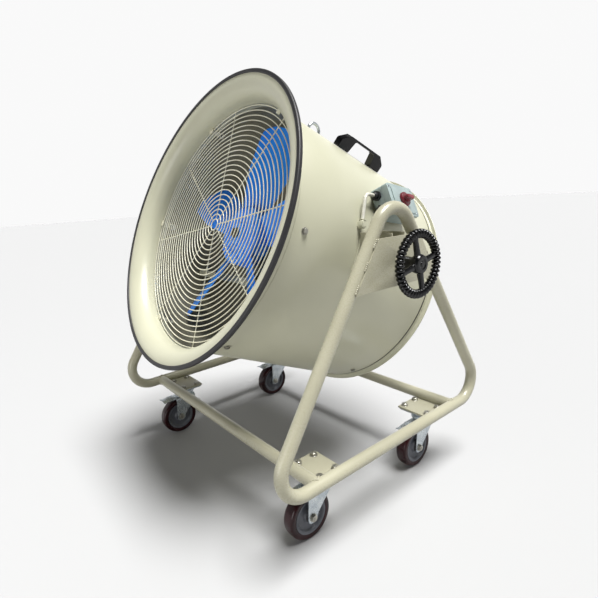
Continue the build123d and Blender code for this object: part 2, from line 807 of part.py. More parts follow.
with BuildPart() as knob:
    with BuildSketch(skin_plane(box_angle, box_station, box_face_radius + moving_gap, box_cant)):
        RegularPolygon(knob_diameter / 2, 24)
    extrude(amount=knob_height)
    with BuildSketch(skin_plane(box_angle, box_station, box_face_radius + moving_gap + knob_height, box_cant)):
        Rectangle(knob_grip_length, knob_grip_width)
    extrude(amount=knob_grip_height)
save(knob.part, "isolator_knob")

gland_plane = skin_plane(box_angle, box_station, drum_radius + box_standoff + box_base_height / 2, box_cant)
front_face = Plane(
    origin=gland_plane.origin + gland_plane.x_dir * box_length / 2, x_dir=gland_plane.y_dir, z_dir=gland_plane.x_dir
)
with BuildPart() as glands:
    with BuildSketch(front_face):
        with GridLocations(gland_spacing, 1, 2, 1):
            RegularPolygon(gland_nut_width / 2, 6, major_radius=False)
    extrude(amount=gland_nut_length)
    with BuildSketch(front_face):
        with GridLocations(gland_spacing, 1, 2, 1):
            RegularPolygon(gland_diameter / 2, 12)
    extrude(amount=gland_length)
save(glands.part, "cable_glands")

# ---------------------------------------------------------------- lead from the isolator to the motor
elbow_face_radius = drum_radius + weld_gap
with BuildPart() as elbow:
    with BuildSketch(skin_plane(elbow_angle, elbow_station, elbow_face_radius)):
        Rectangle(elbow_width, elbow_length)
    extrude(amount=elbow_height)
save(elbow.part, "cable_elbow")

elbow_middle = skin_plane(elbow_angle, elbow_station, elbow_face_radius + elbow_height / 2)
lead_start = front_face.origin - front_face.x_dir * gland_spacing / 2 + front_face.z_dir * gland_length
lead_corner = lead_start + front_face.z_dir * lead_first_run
lead_end = elbow_middle.origin - elbow_middle.y_dir * (elbow_length / 2 + moving_gap)
with BuildPart() as motor_cable:
    with BuildLine() as lead_route:
        FilletPolyline(lead_start, lead_corner, lead_end, radius=lead_bend_radius)
    with BuildSketch(Plane(origin=lead_start, z_dir=front_face.z_dir)):
        Circle(lead_diameter / 2)
    sweep(path=lead_route.wire())
save(motor_cable.part, "motor_cable")
lead_turn = front_face.z_dir.get_angle(lead_end - lead_corner)
lead_length = lead_route.wire().length
lead_volume = radians(180) * lead_diameter**2 / 4 * lead_length
print("lead length", round(lead_length, 1), "bend radius", lead_bend_radius, "turn", round(lead_turn, 1))
print("lead runs", lead_first_run, round((lead_end - lead_corner).length, 1))
print("lead volume, share of section times length", round(motor_cable.part.volume / lead_volume, 5))

# Inside the drum the lead runs in a conduit across to the motor's terminal box
terminal_face_radius = motor_diameter / 2 + terminal_box_depth
with BuildPart() as conduit:
    with BuildSketch(skin_plane(elbow_angle, elbow_station, terminal_face_radius + weld_gap)):
        Circle(conduit_diameter / 2)
    extrude(amount=drum_radius - terminal_face_radius)
    with BuildSketch(drum.offset(rear_station)):
        Circle(bore_radius - weld_gap)
    extrude(amount=drum_length, mode=Mode.INTERSECT)
save(conduit.part, "cable_conduit")

terminal_station = motor_front - terminal_box_setback - terminal_box_length / 2
with BuildPart() as terminal_box:
    with BuildSketch(skin_plane(elbow_angle, terminal_station, motor_diameter / 4)):
        Rectangle(terminal_box_length, terminal_box_width)
    extrude(amount=terminal_face_radius - motor_diameter / 4)
    with BuildSketch(drum.offset(motor_rear)):
        Circle(motor_diameter / 2 + weld_gap)
    extrude(amount=motor_length, mode=Mode.SUBTRACT)
save(terminal_box.part, "motor_terminal_box")
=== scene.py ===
# %% [markdown]
# # A tilting drum fan on casters
# A short steel drum with a flared bell hangs between two triangles of bent tube. A motor on a
# plate inside it turns a paddle impeller, and wire guards close both ends. The solids of the fan
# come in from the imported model. This notebook dresses them: it adds finishes to the plain plates,
# and builds finer pieces in place of the solids whose shape is only rough.

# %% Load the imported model
import json
from math import cos, pi, radians, sin, sqrt

import bmesh
import bpy
from mathutils import Matrix, Vector

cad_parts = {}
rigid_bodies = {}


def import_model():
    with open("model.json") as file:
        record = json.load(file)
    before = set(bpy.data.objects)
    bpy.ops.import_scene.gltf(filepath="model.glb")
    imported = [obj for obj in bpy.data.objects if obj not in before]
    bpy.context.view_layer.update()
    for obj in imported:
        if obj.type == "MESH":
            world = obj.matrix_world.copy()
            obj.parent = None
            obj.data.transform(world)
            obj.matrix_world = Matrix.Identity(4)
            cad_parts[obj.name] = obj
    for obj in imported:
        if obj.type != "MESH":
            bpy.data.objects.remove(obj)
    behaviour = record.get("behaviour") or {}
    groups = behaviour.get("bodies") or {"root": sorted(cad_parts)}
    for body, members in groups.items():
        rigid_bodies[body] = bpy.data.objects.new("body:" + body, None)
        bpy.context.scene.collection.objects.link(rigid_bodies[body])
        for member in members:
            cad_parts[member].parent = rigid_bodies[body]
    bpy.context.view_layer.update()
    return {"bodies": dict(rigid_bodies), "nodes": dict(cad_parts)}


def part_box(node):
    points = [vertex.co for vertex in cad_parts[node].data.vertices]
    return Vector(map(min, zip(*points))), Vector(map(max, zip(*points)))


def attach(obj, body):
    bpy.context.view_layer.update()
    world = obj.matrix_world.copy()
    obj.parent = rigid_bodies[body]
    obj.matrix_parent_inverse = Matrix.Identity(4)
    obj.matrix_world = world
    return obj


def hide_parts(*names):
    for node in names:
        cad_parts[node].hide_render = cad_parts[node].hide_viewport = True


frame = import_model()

nodes = frame["nodes"]
print("bodies:", ", ".join(sorted(frame["bodies"])))

# %% [markdown]
# ## Measures
# The same sizes that the solids were drawn with, in metres. The drum is tipped back, so nearly
# everything on it is easier to describe in the drum's own frame: across, up and along the axis
# towards the bell. One matrix then carries a finished mesh into its place.

# %% Measures of the stand and the drum
tube_radius = 0.016
frame_x = 0.435
stand_length = 0.858
rail_height = 0.185
apex_height = 0.837
bend_radius = 0.064
cross_y = 0.273
pivot_height = 0.658
tilt = radians(24)
drum_radius = 0.350
drum_wall = 0.003
bore_radius = drum_radius - drum_wall
seam_station = 0.253
rear_station = -0.309
lip_station = 0.311
print("drum:", 2 * drum_radius, "across and", round(lip_station - rear_station, 3), "long")


# %% Places
def place_by(x_way, y_way, z_way, origin=(0, 0, 0)):
    """Place whose own X, Y and Z point the given ways."""
    place = Matrix((x_way, y_way, z_way)).transposed().to_4x4()
    place.translation = origin
    return place


at = Matrix.Translation
z_axis = Vector((0, 0, 1))
world_place = Matrix.Identity(4)
drum_place = place_by((1, 0, 0), (0, sin(tilt), cos(tilt)), (0, -cos(tilt), sin(tilt)), (0, 0, pivot_height))
four_ways = [(i, j) for i in (-1, 1) for j in (-1, 1)]


def endways(origin):
    """Place whose Z points along the old X."""
    return place_by((0, 1, 0), (0, 0, 1), (1, 0, 0), origin)


def outward_at(angle):
    """Way out of the drum at an angle from its top, in the drum's own frame."""
    return Vector((sin(angle), cos(angle), 0))


def round_drum(angle, station, radius=drum_radius, cant=0.0):
    """Place on the drum: X along it towards the bell, Y round it, Z outwards."""
    outward = outward_at(angle)
    along = z_axis * cos(cant) + outward.cross(z_axis) * sin(cant)
    return drum_place @ place_by(along, outward.cross(along), outward, outward * radius + z_axis * station)


def facing(place, point=(0, 0, 0)):
    """A point on a place, with the way the place faces."""
    return place @ Vector(point), place.to_3x3() @ z_axis


print("the bell faces", [round(part, 3) for part in facing(drum_place)[1]])

# %% [markdown]
# ## Making meshes
# Three kinds of helper make most pieces. A turned piece is a profile spun round an axis, as on a
# lathe. A cut piece is an outline given a thickness. A pressed piece is a thin sheet that follows
# rows of points. Real edges are never sharp, so corners are eased before a piece is made, and
# hard edges get a small bevel that catches the light.

# %% Outlines
def turns(count):
    """Angles that divide a circle evenly."""
    return [2 * pi * k / count for k in range(count)]


def eased(points, size, steps=4, closed=True):
    """Outline with its corners rounded off by the given distance."""
    result = []
    count = len(points)
    for i, point in enumerate(points):
        if not closed and i in (0, count - 1):
            result.append(tuple(point))
            continue
        corner = Vector(point)
        before, after = Vector(points[i - 1]) - corner, Vector(points[(i + 1) % count]) - corner
        reach = min(size, before.length * 0.48, after.length * 0.48)
        first, last = corner + before.normalized() * reach, corner + after.normalized() * reach
        for k in range(steps + 1):
            t = k / steps
            result.append(tuple(first * (1 - t) ** 2 + corner * 2 * t * (1 - t) + last * t**2))
    return result


def rectangle(width, height, centre=(0, 0)):
    """Corners of a rectangle."""
    x, y = width / 2, height / 2
    return [(centre[0] + i * x, centre[1] + j * y) for i, j in ((-1, -1), (1, -1), (1, 1), (-1, 1))]


def shifted(points, radius, height):
    """Profile moved outwards and along."""
    return [(radius + r, height + z) for r, z in points]


print("a square with eased corners has", len(eased(rectangle(1, 1), 0.1)), "points")


# %% From points to a piece
def piece_from(name, mesh, place=world_place, smooth=40):
    """Object at the origin whose mesh has been carried to its place."""
    mesh.transform(place)
    if place.determinant() < 0:
        mesh.flip_normals()
    piece = bpy.data.objects.new(name, mesh)
    bpy.context.scene.collection.objects.link(piece)
    mesh.polygons.foreach_set("use_smooth", [True] * len(mesh.polygons))
    mesh.set_sharp_from_angle(angle=radians(smooth))
    return piece


def from_bmesh(name, bm, place=world_place, smooth=40, outward=True):
    """Piece from an edit mesh, with its faces turned outwards."""
    if outward:
        bmesh.ops.recalc_face_normals(bm, faces=bm.faces)
    mesh = bpy.data.meshes.new(name)
    bm.to_mesh(mesh)
    bm.free()
    return piece_from(name, mesh, place, smooth)


# %% Turned pieces
def skin(bm, rows, around=True, closed=False):
    """Faces between neighbouring rows of points. A row of one point is a pole."""
    count = max(len(row) for row in rows)
    for low, high in list(zip(rows, rows[1:])) + ([(rows[-1], rows[0])] if closed else []):
        for k in range(count if around else count - 1):
            n = (k + 1) % count
            corners = (low[k % len(low)], low[n % len(low)], high[n % len(high)], high[k % len(high)])
            bm.faces.new(list(dict.fromkeys(corners)))


def add_turned(bm, profile, sides, closed):
    """Spins (radius, height) points round Z into an edit mesh."""
    skin(bm, [[bm.verts.new((radius * cos(t), radius * sin(t), height)) for t in turns(sides)] if radius > 1e-6
              else [bm.verts.new((0, 0, height))] for radius, height in profile], closed=closed)


def turned(name, profile, place=world_place, sides=96, closed=True, smooth=40):
    """Turned piece. A profile that starts and ends on the axis isn't closed."""
    bm = bmesh.new()
    add_turned(bm, profile, sides, closed)
    return from_bmesh(name, bm, place, smooth)


def solid_turned(name, profile, ease, place, sides):
    """Turned piece that is solid to its axis, with its corners eased."""
    whole = [(0, profile[0][1])] + profile + [(0, profile[-1][1])]
    return turned(name, eased(whole, ease, closed=False), place, sides, closed=False)


# %% Cut pieces
def cut(name, outline, low, high, place=world_place, bevel=0.0006, smooth=40):
    """Cut piece: an outline in its own X and Y, between two heights along Z."""
    bm = bmesh.new()
    bottom, top = ([bm.verts.new((x, y, z)) for x, y in outline] for z in (low, high))
    ends = [bm.faces.new(list(reversed(bottom))), bm.faces.new(top)]
    skin(bm, [bottom, top])
    if bevel:
        rims = [edge for face in ends for edge in face.edges]
        bmesh.ops.bevel(bm, geom=rims, offset=bevel, segments=2, affect="EDGES", profile=0.7)
    return from_bmesh(name, bm, place, smooth)


# %% Pressed pieces
def settled(piece):
    """Works a piece's modifiers into its mesh."""
    bpy.context.view_layer.update()
    mesh = bpy.data.meshes.new_from_object(piece.evaluated_get(bpy.context.evaluated_depsgraph_get()))
    name = piece.name
    bpy.data.objects.remove(piece)
    return piece_from(name, mesh)


def pressed(name, rows, thickness, edge, place=world_place, on_top=True, segments=2):
    """Sheet through rows of points, which lie on its top or in its middle."""
    bm = bmesh.new()
    skin(bm, [[bm.verts.new(point) for point in row] for row in rows], around=False)
    bmesh.ops.recalc_face_normals(bm, faces=bm.faces)
    if on_top and sum(face.normal.z for face in bm.faces) < 0:
        bmesh.ops.reverse_faces(bm, faces=bm.faces)
    sheet = from_bmesh(name, bm, place, outward=False)
    thick = sheet.modifiers.new("sheet", "SOLIDIFY")
    thick.thickness, thick.offset = thickness, -1 if on_top else 0
    soft = sheet.modifiers.new("edges", "BEVEL")
    soft.width, soft.segments, soft.angle_limit = edge, segments, radians(50)
    return settled(sheet)


# %% Several pieces as one
def merged(name, *pieces):
    """One piece from several that are made alike and move together."""
    bm = bmesh.new()
    for piece in pieces:
        bm.from_mesh(piece.data)
        bpy.data.objects.remove(piece)
    mesh = bpy.data.meshes.new(name)
    bm.to_mesh(mesh)
    bm.free()
    return piece_from(name, mesh)


# %% Pieces made from the solids
def softened(node, bevel, angle=30):
    """Copy of a flat-sided solid with its sharp edges broken."""
    bm = bmesh.new()
    bm.from_mesh(nodes[node].data)
    bmesh.ops.remove_doubles(bm, verts=bm.verts, dist=1e-6)
    bmesh.ops.dissolve_limit(bm, angle_limit=radians(2), verts=bm.verts, edges=bm.edges)
    sharp = [e for e in bm.edges if len(e.link_faces) == 2 and e.calc_face_angle() > radians(angle)]
    bmesh.ops.bevel(bm, geom=sharp, offset=bevel, segments=2, affect="EDGES", profile=0.7, clamp_overlap=True)
    return from_bmesh(node + "_finish", bm, smooth=angle)


def share(piece, name, wanted):
    """Copy of the faces whose middle the test accepts."""
    bm = bmesh.new()
    bm.from_mesh(piece.data)
    others = [face for face in bm.faces if not wanted(face.calc_center_median())]
    bmesh.ops.delete(bm, geom=others, context="FACES")
    return from_bmesh(name, bm, outward=False)


# %% Giving a piece its finish and its place in the model
def put(piece, body, slot, finish, *replaced):
    """Gives a piece its finish and its body, and hides the solids that it stands for."""
    if finish:
        piece.data.materials.clear()
        piece.data.materials.append(finish)
    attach(piece, body)
    if replaced:
        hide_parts(*replaced)
    print(f"{piece.name}: {len(piece.data.polygons)} faces, on {body}")
    return piece


def dress(bevel, look, *solids):
    """Puts softened copies in place of flat-sided solids."""
    for node in solids:
        put(softened(node, bevel), *look, node)


# %% [markdown]
# ## Node trees
# Shader and geometry trees are built the same way: a node is added, its settings are made, and
# its inputs are either given a value or joined to another node's output. A plan keeps one tree,
# and calling it adds one node.

# %% Drawing up a tree
class Plan:
    """A node tree being drawn up. Calling it adds a node and gives one of its outputs."""

    def __init__(self, tree, inputs=(), outputs=()):
        self.tree = tree
        for label, kind, *start in inputs:
            socket = tree.interface.new_socket(label, in_out="INPUT", socket_type=kind)
            if start:
                socket.default_value = start[0]
        for label, kind in outputs:
            tree.interface.new_socket(label, in_out="OUTPUT", socket_type=kind)
        if inputs:
            self.given = tree.nodes.new("NodeGroupInput").outputs
            self.result = tree.nodes.new("NodeGroupOutput").inputs

    def __call__(self, kind, values={}, take=0, **named):
        """Names with a capital are inputs and the others are settings."""
        node = self.tree.nodes.new(kind)
        inputs = {key.replace("_", " "): value for key, value in named.items() if key[0].isupper()}
        for key, value in named.items():
            if key[0].islower():
                setattr(node, key, value)
        for key, value in {**inputs, **values}.items():
            self.join(value, node.inputs[key])
        return node.outputs[take]

    def join(self, value, socket):
        """Joins another node's output to an input, or sets the input to a plain value."""
        if isinstance(value, bpy.types.NodeSocket):
            self.tree.links.new(value, socket)
        else:
            socket.default_value = value

    def math(self, operation, first, second=0.0):
        """One step of arithmetic."""
        return self("ShaderNodeMath", {0: first, 1: second}, operation=operation)

    def times(self, first, second):
        """Product of two values."""
        return self.math("MULTIPLY", first, second)

    def less(self, first, second):
        """What is left of the first value without the second."""
        return self.math("SUBTRACT", first, second)

    def mix(self, mask, first, second):
        """First colour where the mask is 0, second where it is 1."""
        return self("ShaderNodeMix", {0: mask, 6: first, 7: second}, take=2, data_type="RGBA")


# %% [markdown]
# ## Surface effects
# The finishes share a few effects, each a node group that gives a colour, a mask or a height.
# Paint and plastic drift in tone over a hand's width, powder coat has the fine dimples of orange
# peel, handled parts carry short scratches, and dust settles on what faces up.

# %% Starting an effect
number, colour, vector = "NodeSocketFloat", "NodeSocketColor", "NodeSocketVector"


def effect(name, inputs, label, kind=number):
    """Starts a shader group that gives one result."""
    return Plan(bpy.data.node_groups.new(name, "ShaderNodeTree"), inputs, [(label, kind)])


def noise(plan, where, scale, **more):
    """Clouds of noise over a piece."""
    return plan("ShaderNodeTexNoise", Vector=where, Scale=scale, **more)


def stretched(plan, value, low, high):
    """Stretches the part between two values over 0 to 1."""
    return plan("ShaderNodeMapRange", Value=value, From_Min=low, From_Max=high)


# %% Drifting tone and fine grain
tone_drift = effect("tone_drift", [("Light", colour), ("Dark", colour), ("Scale", number, 6.0)], "Color", colour)
given = tone_drift.given
here = tone_drift("ShaderNodeTexCoord", take="Object")
clouds = stretched(tone_drift, noise(tone_drift, here, given["Scale"], Detail=5.0), 0.35, 0.65)
tone_drift.join(tone_drift.mix(clouds, given["Light"], given["Dark"]), tone_drift.result[0])

fine_grain = effect("fine_grain", [("Scale", number, 900.0), ("Sharpness", number, 0.5)], "Height")
given = fine_grain.given
here = fine_grain("ShaderNodeTexCoord", take="Object")
dimples = noise(fine_grain, here, given["Scale"], Detail=3.0, Roughness=given["Sharpness"])
fine_grain.join(dimples, fine_grain.result[0])

# %% Scratches and dust
scratches = effect("scratches", [
    ("Scale", number, 30.0), ("Amount", number, 0.3), ("Stretch", vector, (1, 1, 8))], "Mask")
given = scratches.given
here = scratches("ShaderNodeTexCoord", take="Object")
drawn = scratches("ShaderNodeMapping", Vector=here, Scale=given["Stretch"], Rotation=(0.5, 0.3, 0.7))
streaks = noise(scratches, drawn, given["Scale"], Detail=8.0, Roughness=0.75)
edge = scratches.less(0.78, scratches.times(given["Amount"], 0.2))
scratches.join(stretched(scratches, streaks, edge, 0.80), scratches.result[0])

settled_dust = effect("settled_dust", [("Amount", number, 0.3)], "Mask")
normal = settled_dust("ShaderNodeTexCoord", take="Normal")
upward = stretched(settled_dust, settled_dust("ShaderNodeSeparateXYZ", {0: normal}, take="Z"), 0.5, 1.0)
patches = noise(settled_dust, settled_dust("ShaderNodeTexCoord", take="Object"), 25.0, Detail=6.0)
laid = settled_dust.times(upward, patches)
settled_dust.join(settled_dust.times(laid, settled_dust.given["Amount"]), settled_dust.result[0])

print("effects:", *(plan.tree.name for plan in (tone_drift, fine_grain, scratches, settled_dust)))


# %% [markdown]
# ## Finishes
# Every finish is one shader whose colour, roughness and bump come from the effects. Numbers that
# are the same all over are set on the shader itself.

# %% Building one finish
def linear(red, green, blue):
    """Scene colour from the 0 to 255 values that a screen shows."""
    values = [v / 255 for v in (red, green, blue)]
    return tuple(v / 12.92 if v <= 0.04045 else ((v + 0.055) / 1.055) ** 2.4 for v in values) + (1,)


dust_tone = linear(150, 145, 132)
smoothest = 0.02


def surface(name, light, dark, worn, rough, drift, grain, dimple, wear, dust=0.0, rough_spread=0.08,
            wear_scale=30.0, sharpness=0.5, **constants):
    """Material with drifting colour, scratches, dust and dimples so many micrometres deep."""
    light, dark, worn = (linear(*tone) for tone in (light, dark, worn))
    material = bpy.data.materials.new(name)
    material.use_nodes = True
    material.diffuse_color = light
    plan = Plan(material.node_tree)
    shader = plan.tree.nodes["Principled BSDF"].inputs

    def use(group, values):
        return plan("ShaderNodeGroup", values, node_tree=group.tree)

    tint = use(tone_drift, {"Light": light, "Dark": dark, "Scale": drift})
    marks = use(scratches, {"Scale": wear_scale, "Amount": wear})
    powder = use(settled_dust, {"Amount": dust})
    plan.join(plan.mix(powder, plan.mix(marks, tint, worn), dust_tone), shader["Base Color"])
    height = use(fine_grain, {"Scale": grain, "Sharpness": sharpness})
    rougher = plan("ShaderNodeMapRange", Value=height, To_Min=max(smoothest, rough - rough_spread),
                   To_Max=rough + rough_spread)
    plan.join(plan.math("ADD", rougher, plan.times(powder, 0.4)), shader["Roughness"])
    plan.join(plan("ShaderNodeBump", Height=height, Distance=dimple * 1e-6, Strength=0.6), shader["Normal"])
    for key, value in constants.items():
        shader[key.replace("_", " ")].default_value = value
    return material


# %% The finishes of the fan
# Each line: light, dark and worn tone, roughness, drift, grain, dimples and wear
cream = surface("cream_powder_coat", (166, 163, 142), (156, 153, 132), (180, 172, 146),
                0.28, 5, 500, 60, 0.10, dust=0.15)
cream_drum = surface("cream_drum_paint", (184, 183, 161), (177, 176, 154), (196, 190, 166),
                     0.33, 3, 420, 50, 0.10, dust=0.12)
# The inside of the drum takes a darker olive tone: painted shade for the deep shadow within the drum, with some dust.
drum_lining = surface("drum_lining", (118, 115, 96), (100, 97, 80), (128, 124, 104),
                      0.55, 4, 300, 60, 0.2, dust=0.3)
cream_wire = surface("cream_wire_coat", (212, 209, 188), (198, 195, 172), (160, 152, 128), 0.30, 12, 900, 30, 0.2)
blue_paint = surface("blue_impeller_paint", (54, 152, 255), (40, 132, 250), (80, 130, 210), 0.17, 8, 600, 30, 0.15)
black_gloss = surface("black_moulding", (10, 10, 11), (6, 6, 7), (28, 28, 30), 0.16, 30, 1200, 20, 0.10,
                      Specular_IOR_Level=0.35)
# Rubber of the bell's edge strip; also laid in the groove before the drum's rear lip as painted shade.
edge_rubber = surface("edge_rubber", (35, 34, 36), (26, 25, 27), (66, 64, 66), 0.50, 15, 1500, 50, 0.25, dust=0.1)
tread_rubber = surface("tread_polyurethane", (44, 11, 15), (30, 7, 10), (64, 32, 32), 0.24, 20, 700, 50, 0.25,
                       dust=0.02, wear_scale=60, Specular_IOR_Level=0.28)
core_plastic = surface("wheel_core", (92, 95, 102), (78, 81, 88), (118, 116, 116),
                       0.38, 18, 1100, 40, 0.25, dust=0.15)
dark_cap = surface("bearing_cap", (58, 58, 60), (44, 44, 46), (86, 84, 84), 0.42, 25, 1000, 30, 0.2)
zinc = surface("zinc_plating", (200, 206, 208), (174, 182, 188), (150, 160, 168), 0.28, 40, 260, 20, 0.35,
               rough_spread=0.12, sharpness=0.8, Metallic=0.85)
dull_zinc = surface("dull_zinc", (184, 182, 172), (134, 132, 124), (100, 96, 88),
                    0.32, 60, 300, 20, 0.4, Metallic=0.85)
dark_steel = surface("dark_steel", (92, 86, 76), (66, 60, 54), (140, 132, 120), 0.38, 40, 500, 30, 0.4, Metallic=0.8)
motor_grey = surface("motor_paint", (98, 104, 106), (84, 90, 92), (128, 130, 130), 0.42, 10, 500, 60, 0.2, dust=0.25)
box_grey = surface("isolator_housing", (150, 164, 162), (136, 150, 149), (168, 178, 176),
                   0.46, 14, 1600, 50, 0.12, dust=0.1)
knob_red = surface("isolator_grip", (118, 22, 36), (94, 17, 28), (160, 60, 66), 0.34, 30, 1400, 30, 0.2)
gland_black = surface("gland_nylon", (30, 30, 32), (20, 20, 22), (54, 54, 56), 0.48, 40, 1500, 40, 0.15)
lead_grey = surface("lead_sheath", (204, 202, 190), (190, 188, 176), (160, 158, 148), 0.45, 25, 900, 40, 0.15)

stand_look = "frame", "frame_paint", cream
drum_look = "drum", "drum_paint", cream_drum
print(len(bpy.data.materials), "finishes")

# %% [markdown]
# ## The stand's tubes
# Each side of the stand is one tube bent into a closed triangle. The path is three straight
# lines, so the tree rounds its corners to the bend radius and sweeps a circle along it. That is
# how the real tube is made, and the three sizes stay as named inputs.

# %% Drawing up a geometry tree
socket_kinds = {int: "NodeSocketInt", float: number, type(None): "NodeSocketObject"}


def growing(name, **sizes):
    """Starts a tree that grows a piece from a seed, with its sizes and its finish as inputs."""
    named = [(key.replace("_", " ").capitalize(), socket_kinds[type(start)], *([start] if start is not None else []))
             for key, start in sizes.items()]
    geometry = ("Geometry", "NodeSocketGeometry")
    return Plan(bpy.data.node_groups.new(name, "GeometryNodeTree"),
                [geometry, *named, ("Finish", "NodeSocketMaterial")], [geometry])


def finish_tree(plan, result, smooth=True):
    """Ends a tree with real geometry in its finish."""
    shaded = plan("GeometryNodeSetShadeSmooth", Geometry=result, Shade_Smooth=smooth)
    real = plan("GeometryNodeRealizeInstances", Geometry=shaded)
    plan.join(plan("GeometryNodeSetMaterial", Geometry=real, Material=plan.given["Finish"]), plan.result[0])
    print(f"{plan.tree.name} takes:", ", ".join(socket.name for socket in plan.given if socket.name))


# %% Running a geometry tree
def grown(name, seed, plan, place=world_place, smooth=40, **sizes):
    """Runs a tree on a seed object and keeps the result as a plain mesh."""
    modifier = seed.modifiers.new(plan.tree.name, "NODES")
    modifier.node_group = plan.tree
    wanted = {key.replace("_", " "): value for key, value in sizes.items()}
    for item in plan.tree.interface.items_tree:
        if item.in_out == "INPUT" and item.name.lower() in wanted:
            modifier[item.identifier] = wanted.pop(item.name.lower())
    assert not wanted, wanted
    bpy.context.view_layer.update()
    result = seed.evaluated_get(bpy.context.evaluated_depsgraph_get())
    mesh = bpy.data.meshes.new_from_object(result)
    bpy.data.objects.remove(seed)
    return piece_from(name, mesh, place, smooth)


# %% Seeds
def seed_object(data):
    """Object that a tree will run on."""
    seed = bpy.data.objects.new("seed", data)
    bpy.context.scene.collection.objects.link(seed)
    return seed


def line_seed(runs, cyclic=False):
    """Curve object with one straight-sided spline for each run of points."""
    data = bpy.data.curves.new("seed", "CURVE")
    data.dimensions = "3D"
    for run in runs:
        spline = data.splines.new("POLY")
        spline.points.add(len(run) - 1)
        for point, place in zip(spline.points, run):
            point.co = (*place, 1)
        spline.use_cyclic_u = cyclic
    return seed_object(data)


def point_seed(spots=(((0, 0, 0), z_axis),)):
    """Mesh object of loose points, each with the way it faces."""
    mesh = bpy.data.meshes.new("seed")
    mesh.from_pydata([tuple(point) for point, way in spots], [], [])
    ways = mesh.attributes.new("outward", "FLOAT_VECTOR", "POINT")
    for item, (point, way) in zip(ways.data, spots):
        item.vector = way
    return seed_object(mesh)


# %% Steps that several trees take
def circle(plan, sides, radius):
    """Circle as a curve."""
    return plan("GeometryNodeCurvePrimitiveCircle", Resolution=sides, Radius=radius)


def swept(plan, path, section, **more):
    """Section swept along a path."""
    return plan("GeometryNodeCurveToMesh", Curve=path, Profile_Curve=section, **more)


def copied(plan, points, piece, **more):
    """Copies of a piece on points."""
    return plan("GeometryNodeInstanceOnPoints", Points=points, Instance=piece, **more)


def moved(plan, piece, **way):
    """Piece moved along X or Z."""
    return plan("GeometryNodeTransform", Geometry=piece, Translation=plan("ShaderNodeCombineXYZ", **way))


def set_round(plan, piece, count, first=0.0):
    """Copies of a piece, turned evenly round Z."""
    step = plan.math("DIVIDE", 2 * pi, count)
    turn = plan.math("ADD", plan.times(plan("GeometryNodeInputIndex"), step), first)
    way = plan("FunctionNodeAxisAngleToRotation", Axis=(0, 0, 1), Angle=turn)
    return copied(plan, plan("GeometryNodePoints", Count=count), piece, Rotation=way)


# %% Tree for bent tube
bent_tube = growing("bent_tube", tube_diameter=0.032, bend_radius=0.064, bend_steps=24, round=48)
given = bent_tube.given
path = bent_tube("GeometryNodeFilletCurve", Curve=given["Geometry"], Count=given["Bend steps"],
                 Radius=given["Bend radius"], mode="POLY")
ring = circle(bent_tube, given["Round"], bent_tube.times(given["Tube diameter"], 0.5))
finish_tree(bent_tube, swept(bent_tube, path, ring, Fill_Caps=True))

# %% The two side frames
for side, x in (("left", -frame_x), ("right", frame_x)):
    half = stand_length / 2
    corners = [(x, half, rail_height), (x, 0, apex_height), (x, -half, rail_height)]
    loop = grown(f"side_frame_{side}_tube", line_seed([corners], cyclic=True), bent_tube,
                 tube_diameter=2 * tube_radius, bend_radius=bend_radius, finish=cream)
    put(loop, "frame", "frame_paint", None, f"side_frame_{side}")

# %% [markdown]
# The cross tubes end in fish mouths that fit round the rails. The solids already have that shape,
# so these only need a finer round: a straight tube whose ends run into the rails' walls.

# %% The cross tubes
end_gap, skin_gap = 0.004, 0.0002
for name, y in (("front", -cross_y), ("rear", cross_y)):
    run = [(-frame_x + end_gap, y, rail_height), (frame_x - end_gap, y, rail_height)]
    tube = grown(f"{name}_cross_tube_round", line_seed([run]), bent_tube,
                 tube_diameter=2 * tube_radius - skin_gap, bend_radius=0.0, finish=cream)
    put(tube, "frame", "frame_paint", None, f"{name}_cross_tube")

# %% [markdown]
# ## Weld beads
# Where pieces of the stand meet, a weld runs round the joint. A bead is a row of small overlapping
# puddles, so the tree steps along a path and sets a ball at each step, every one a little
# different in size. The seed is fixed, so the beads are the same each time.

# %% Tree for weld beads
weld_bead = growing("weld_bead", bead_width=0.005, puddle_spacing=0.0022, seed=7)
given = weld_bead.given
steps = weld_bead("GeometryNodeCurveToPoints", Curve=given["Geometry"], Length=given["Puddle spacing"], mode="LENGTH")
puddle = weld_bead("GeometryNodeMeshIcoSphere", Radius=weld_bead.times(given["Bead width"], 0.5), Subdivisions=2)
size = weld_bead("FunctionNodeRandomValue", {2: 0.86, 3: 1.12}, 1, Seed=given["Seed"], data_type="FLOAT")
finish_tree(weld_bead, copied(weld_bead, steps, puddle, Scale=size))


def welded(name, runs, width, spacing=0.0022, cyclic=False):
    """Weld bead along straight-sided runs on the stand."""
    bead = grown(name, line_seed(runs, cyclic), weld_bead, smooth=80, bead_width=width,
                 puddle_spacing=spacing, finish=cream)
    return put(bead, "frame", "frame_paint", None)


# %% Welds of the stand
weld_stand_off, weld_sink = 0.0006, 0.0004
weld_radius = tube_radius + weld_stand_off
joints = [[(i * (frame_x - tube_radius * abs(sin(t))), j * cross_y + weld_radius * sin(t),
            rail_height + weld_radius * cos(t)) for t in turns(36)] for i, j in four_ways]
welded("cross_tube_welds", joints, 0.0052, cyclic=True)

plate_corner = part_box("caster_mounting_plates")[1]
plate_top = plate_corner.z
plate_seams = []
for i, j in four_ways:
    x, y = i * plate_corner.x, j * plate_corner.y
    for seam in (((x, y - j * 0.012), (x, y - j * 0.060)), ((x - i * 0.012, y), (x - i * 0.085, y))):
        plate_seams.append([(*end, plate_top - weld_sink) for end in seam])
welded("mounting_plate_welds", plate_seams, 0.0046)
print("welds:", len(joints), "joints and", len(plate_seams), "seams")

# %% [markdown]
# ## Plates, nuts and washers
# The caster plates keep the shape of their solids with the edges broken. Each is held by four
# bolts with a washer and a nut. A nut is six-sided with its corners turned away, so its top edge
# dips at every corner, and the bolt's end stands a little above it.

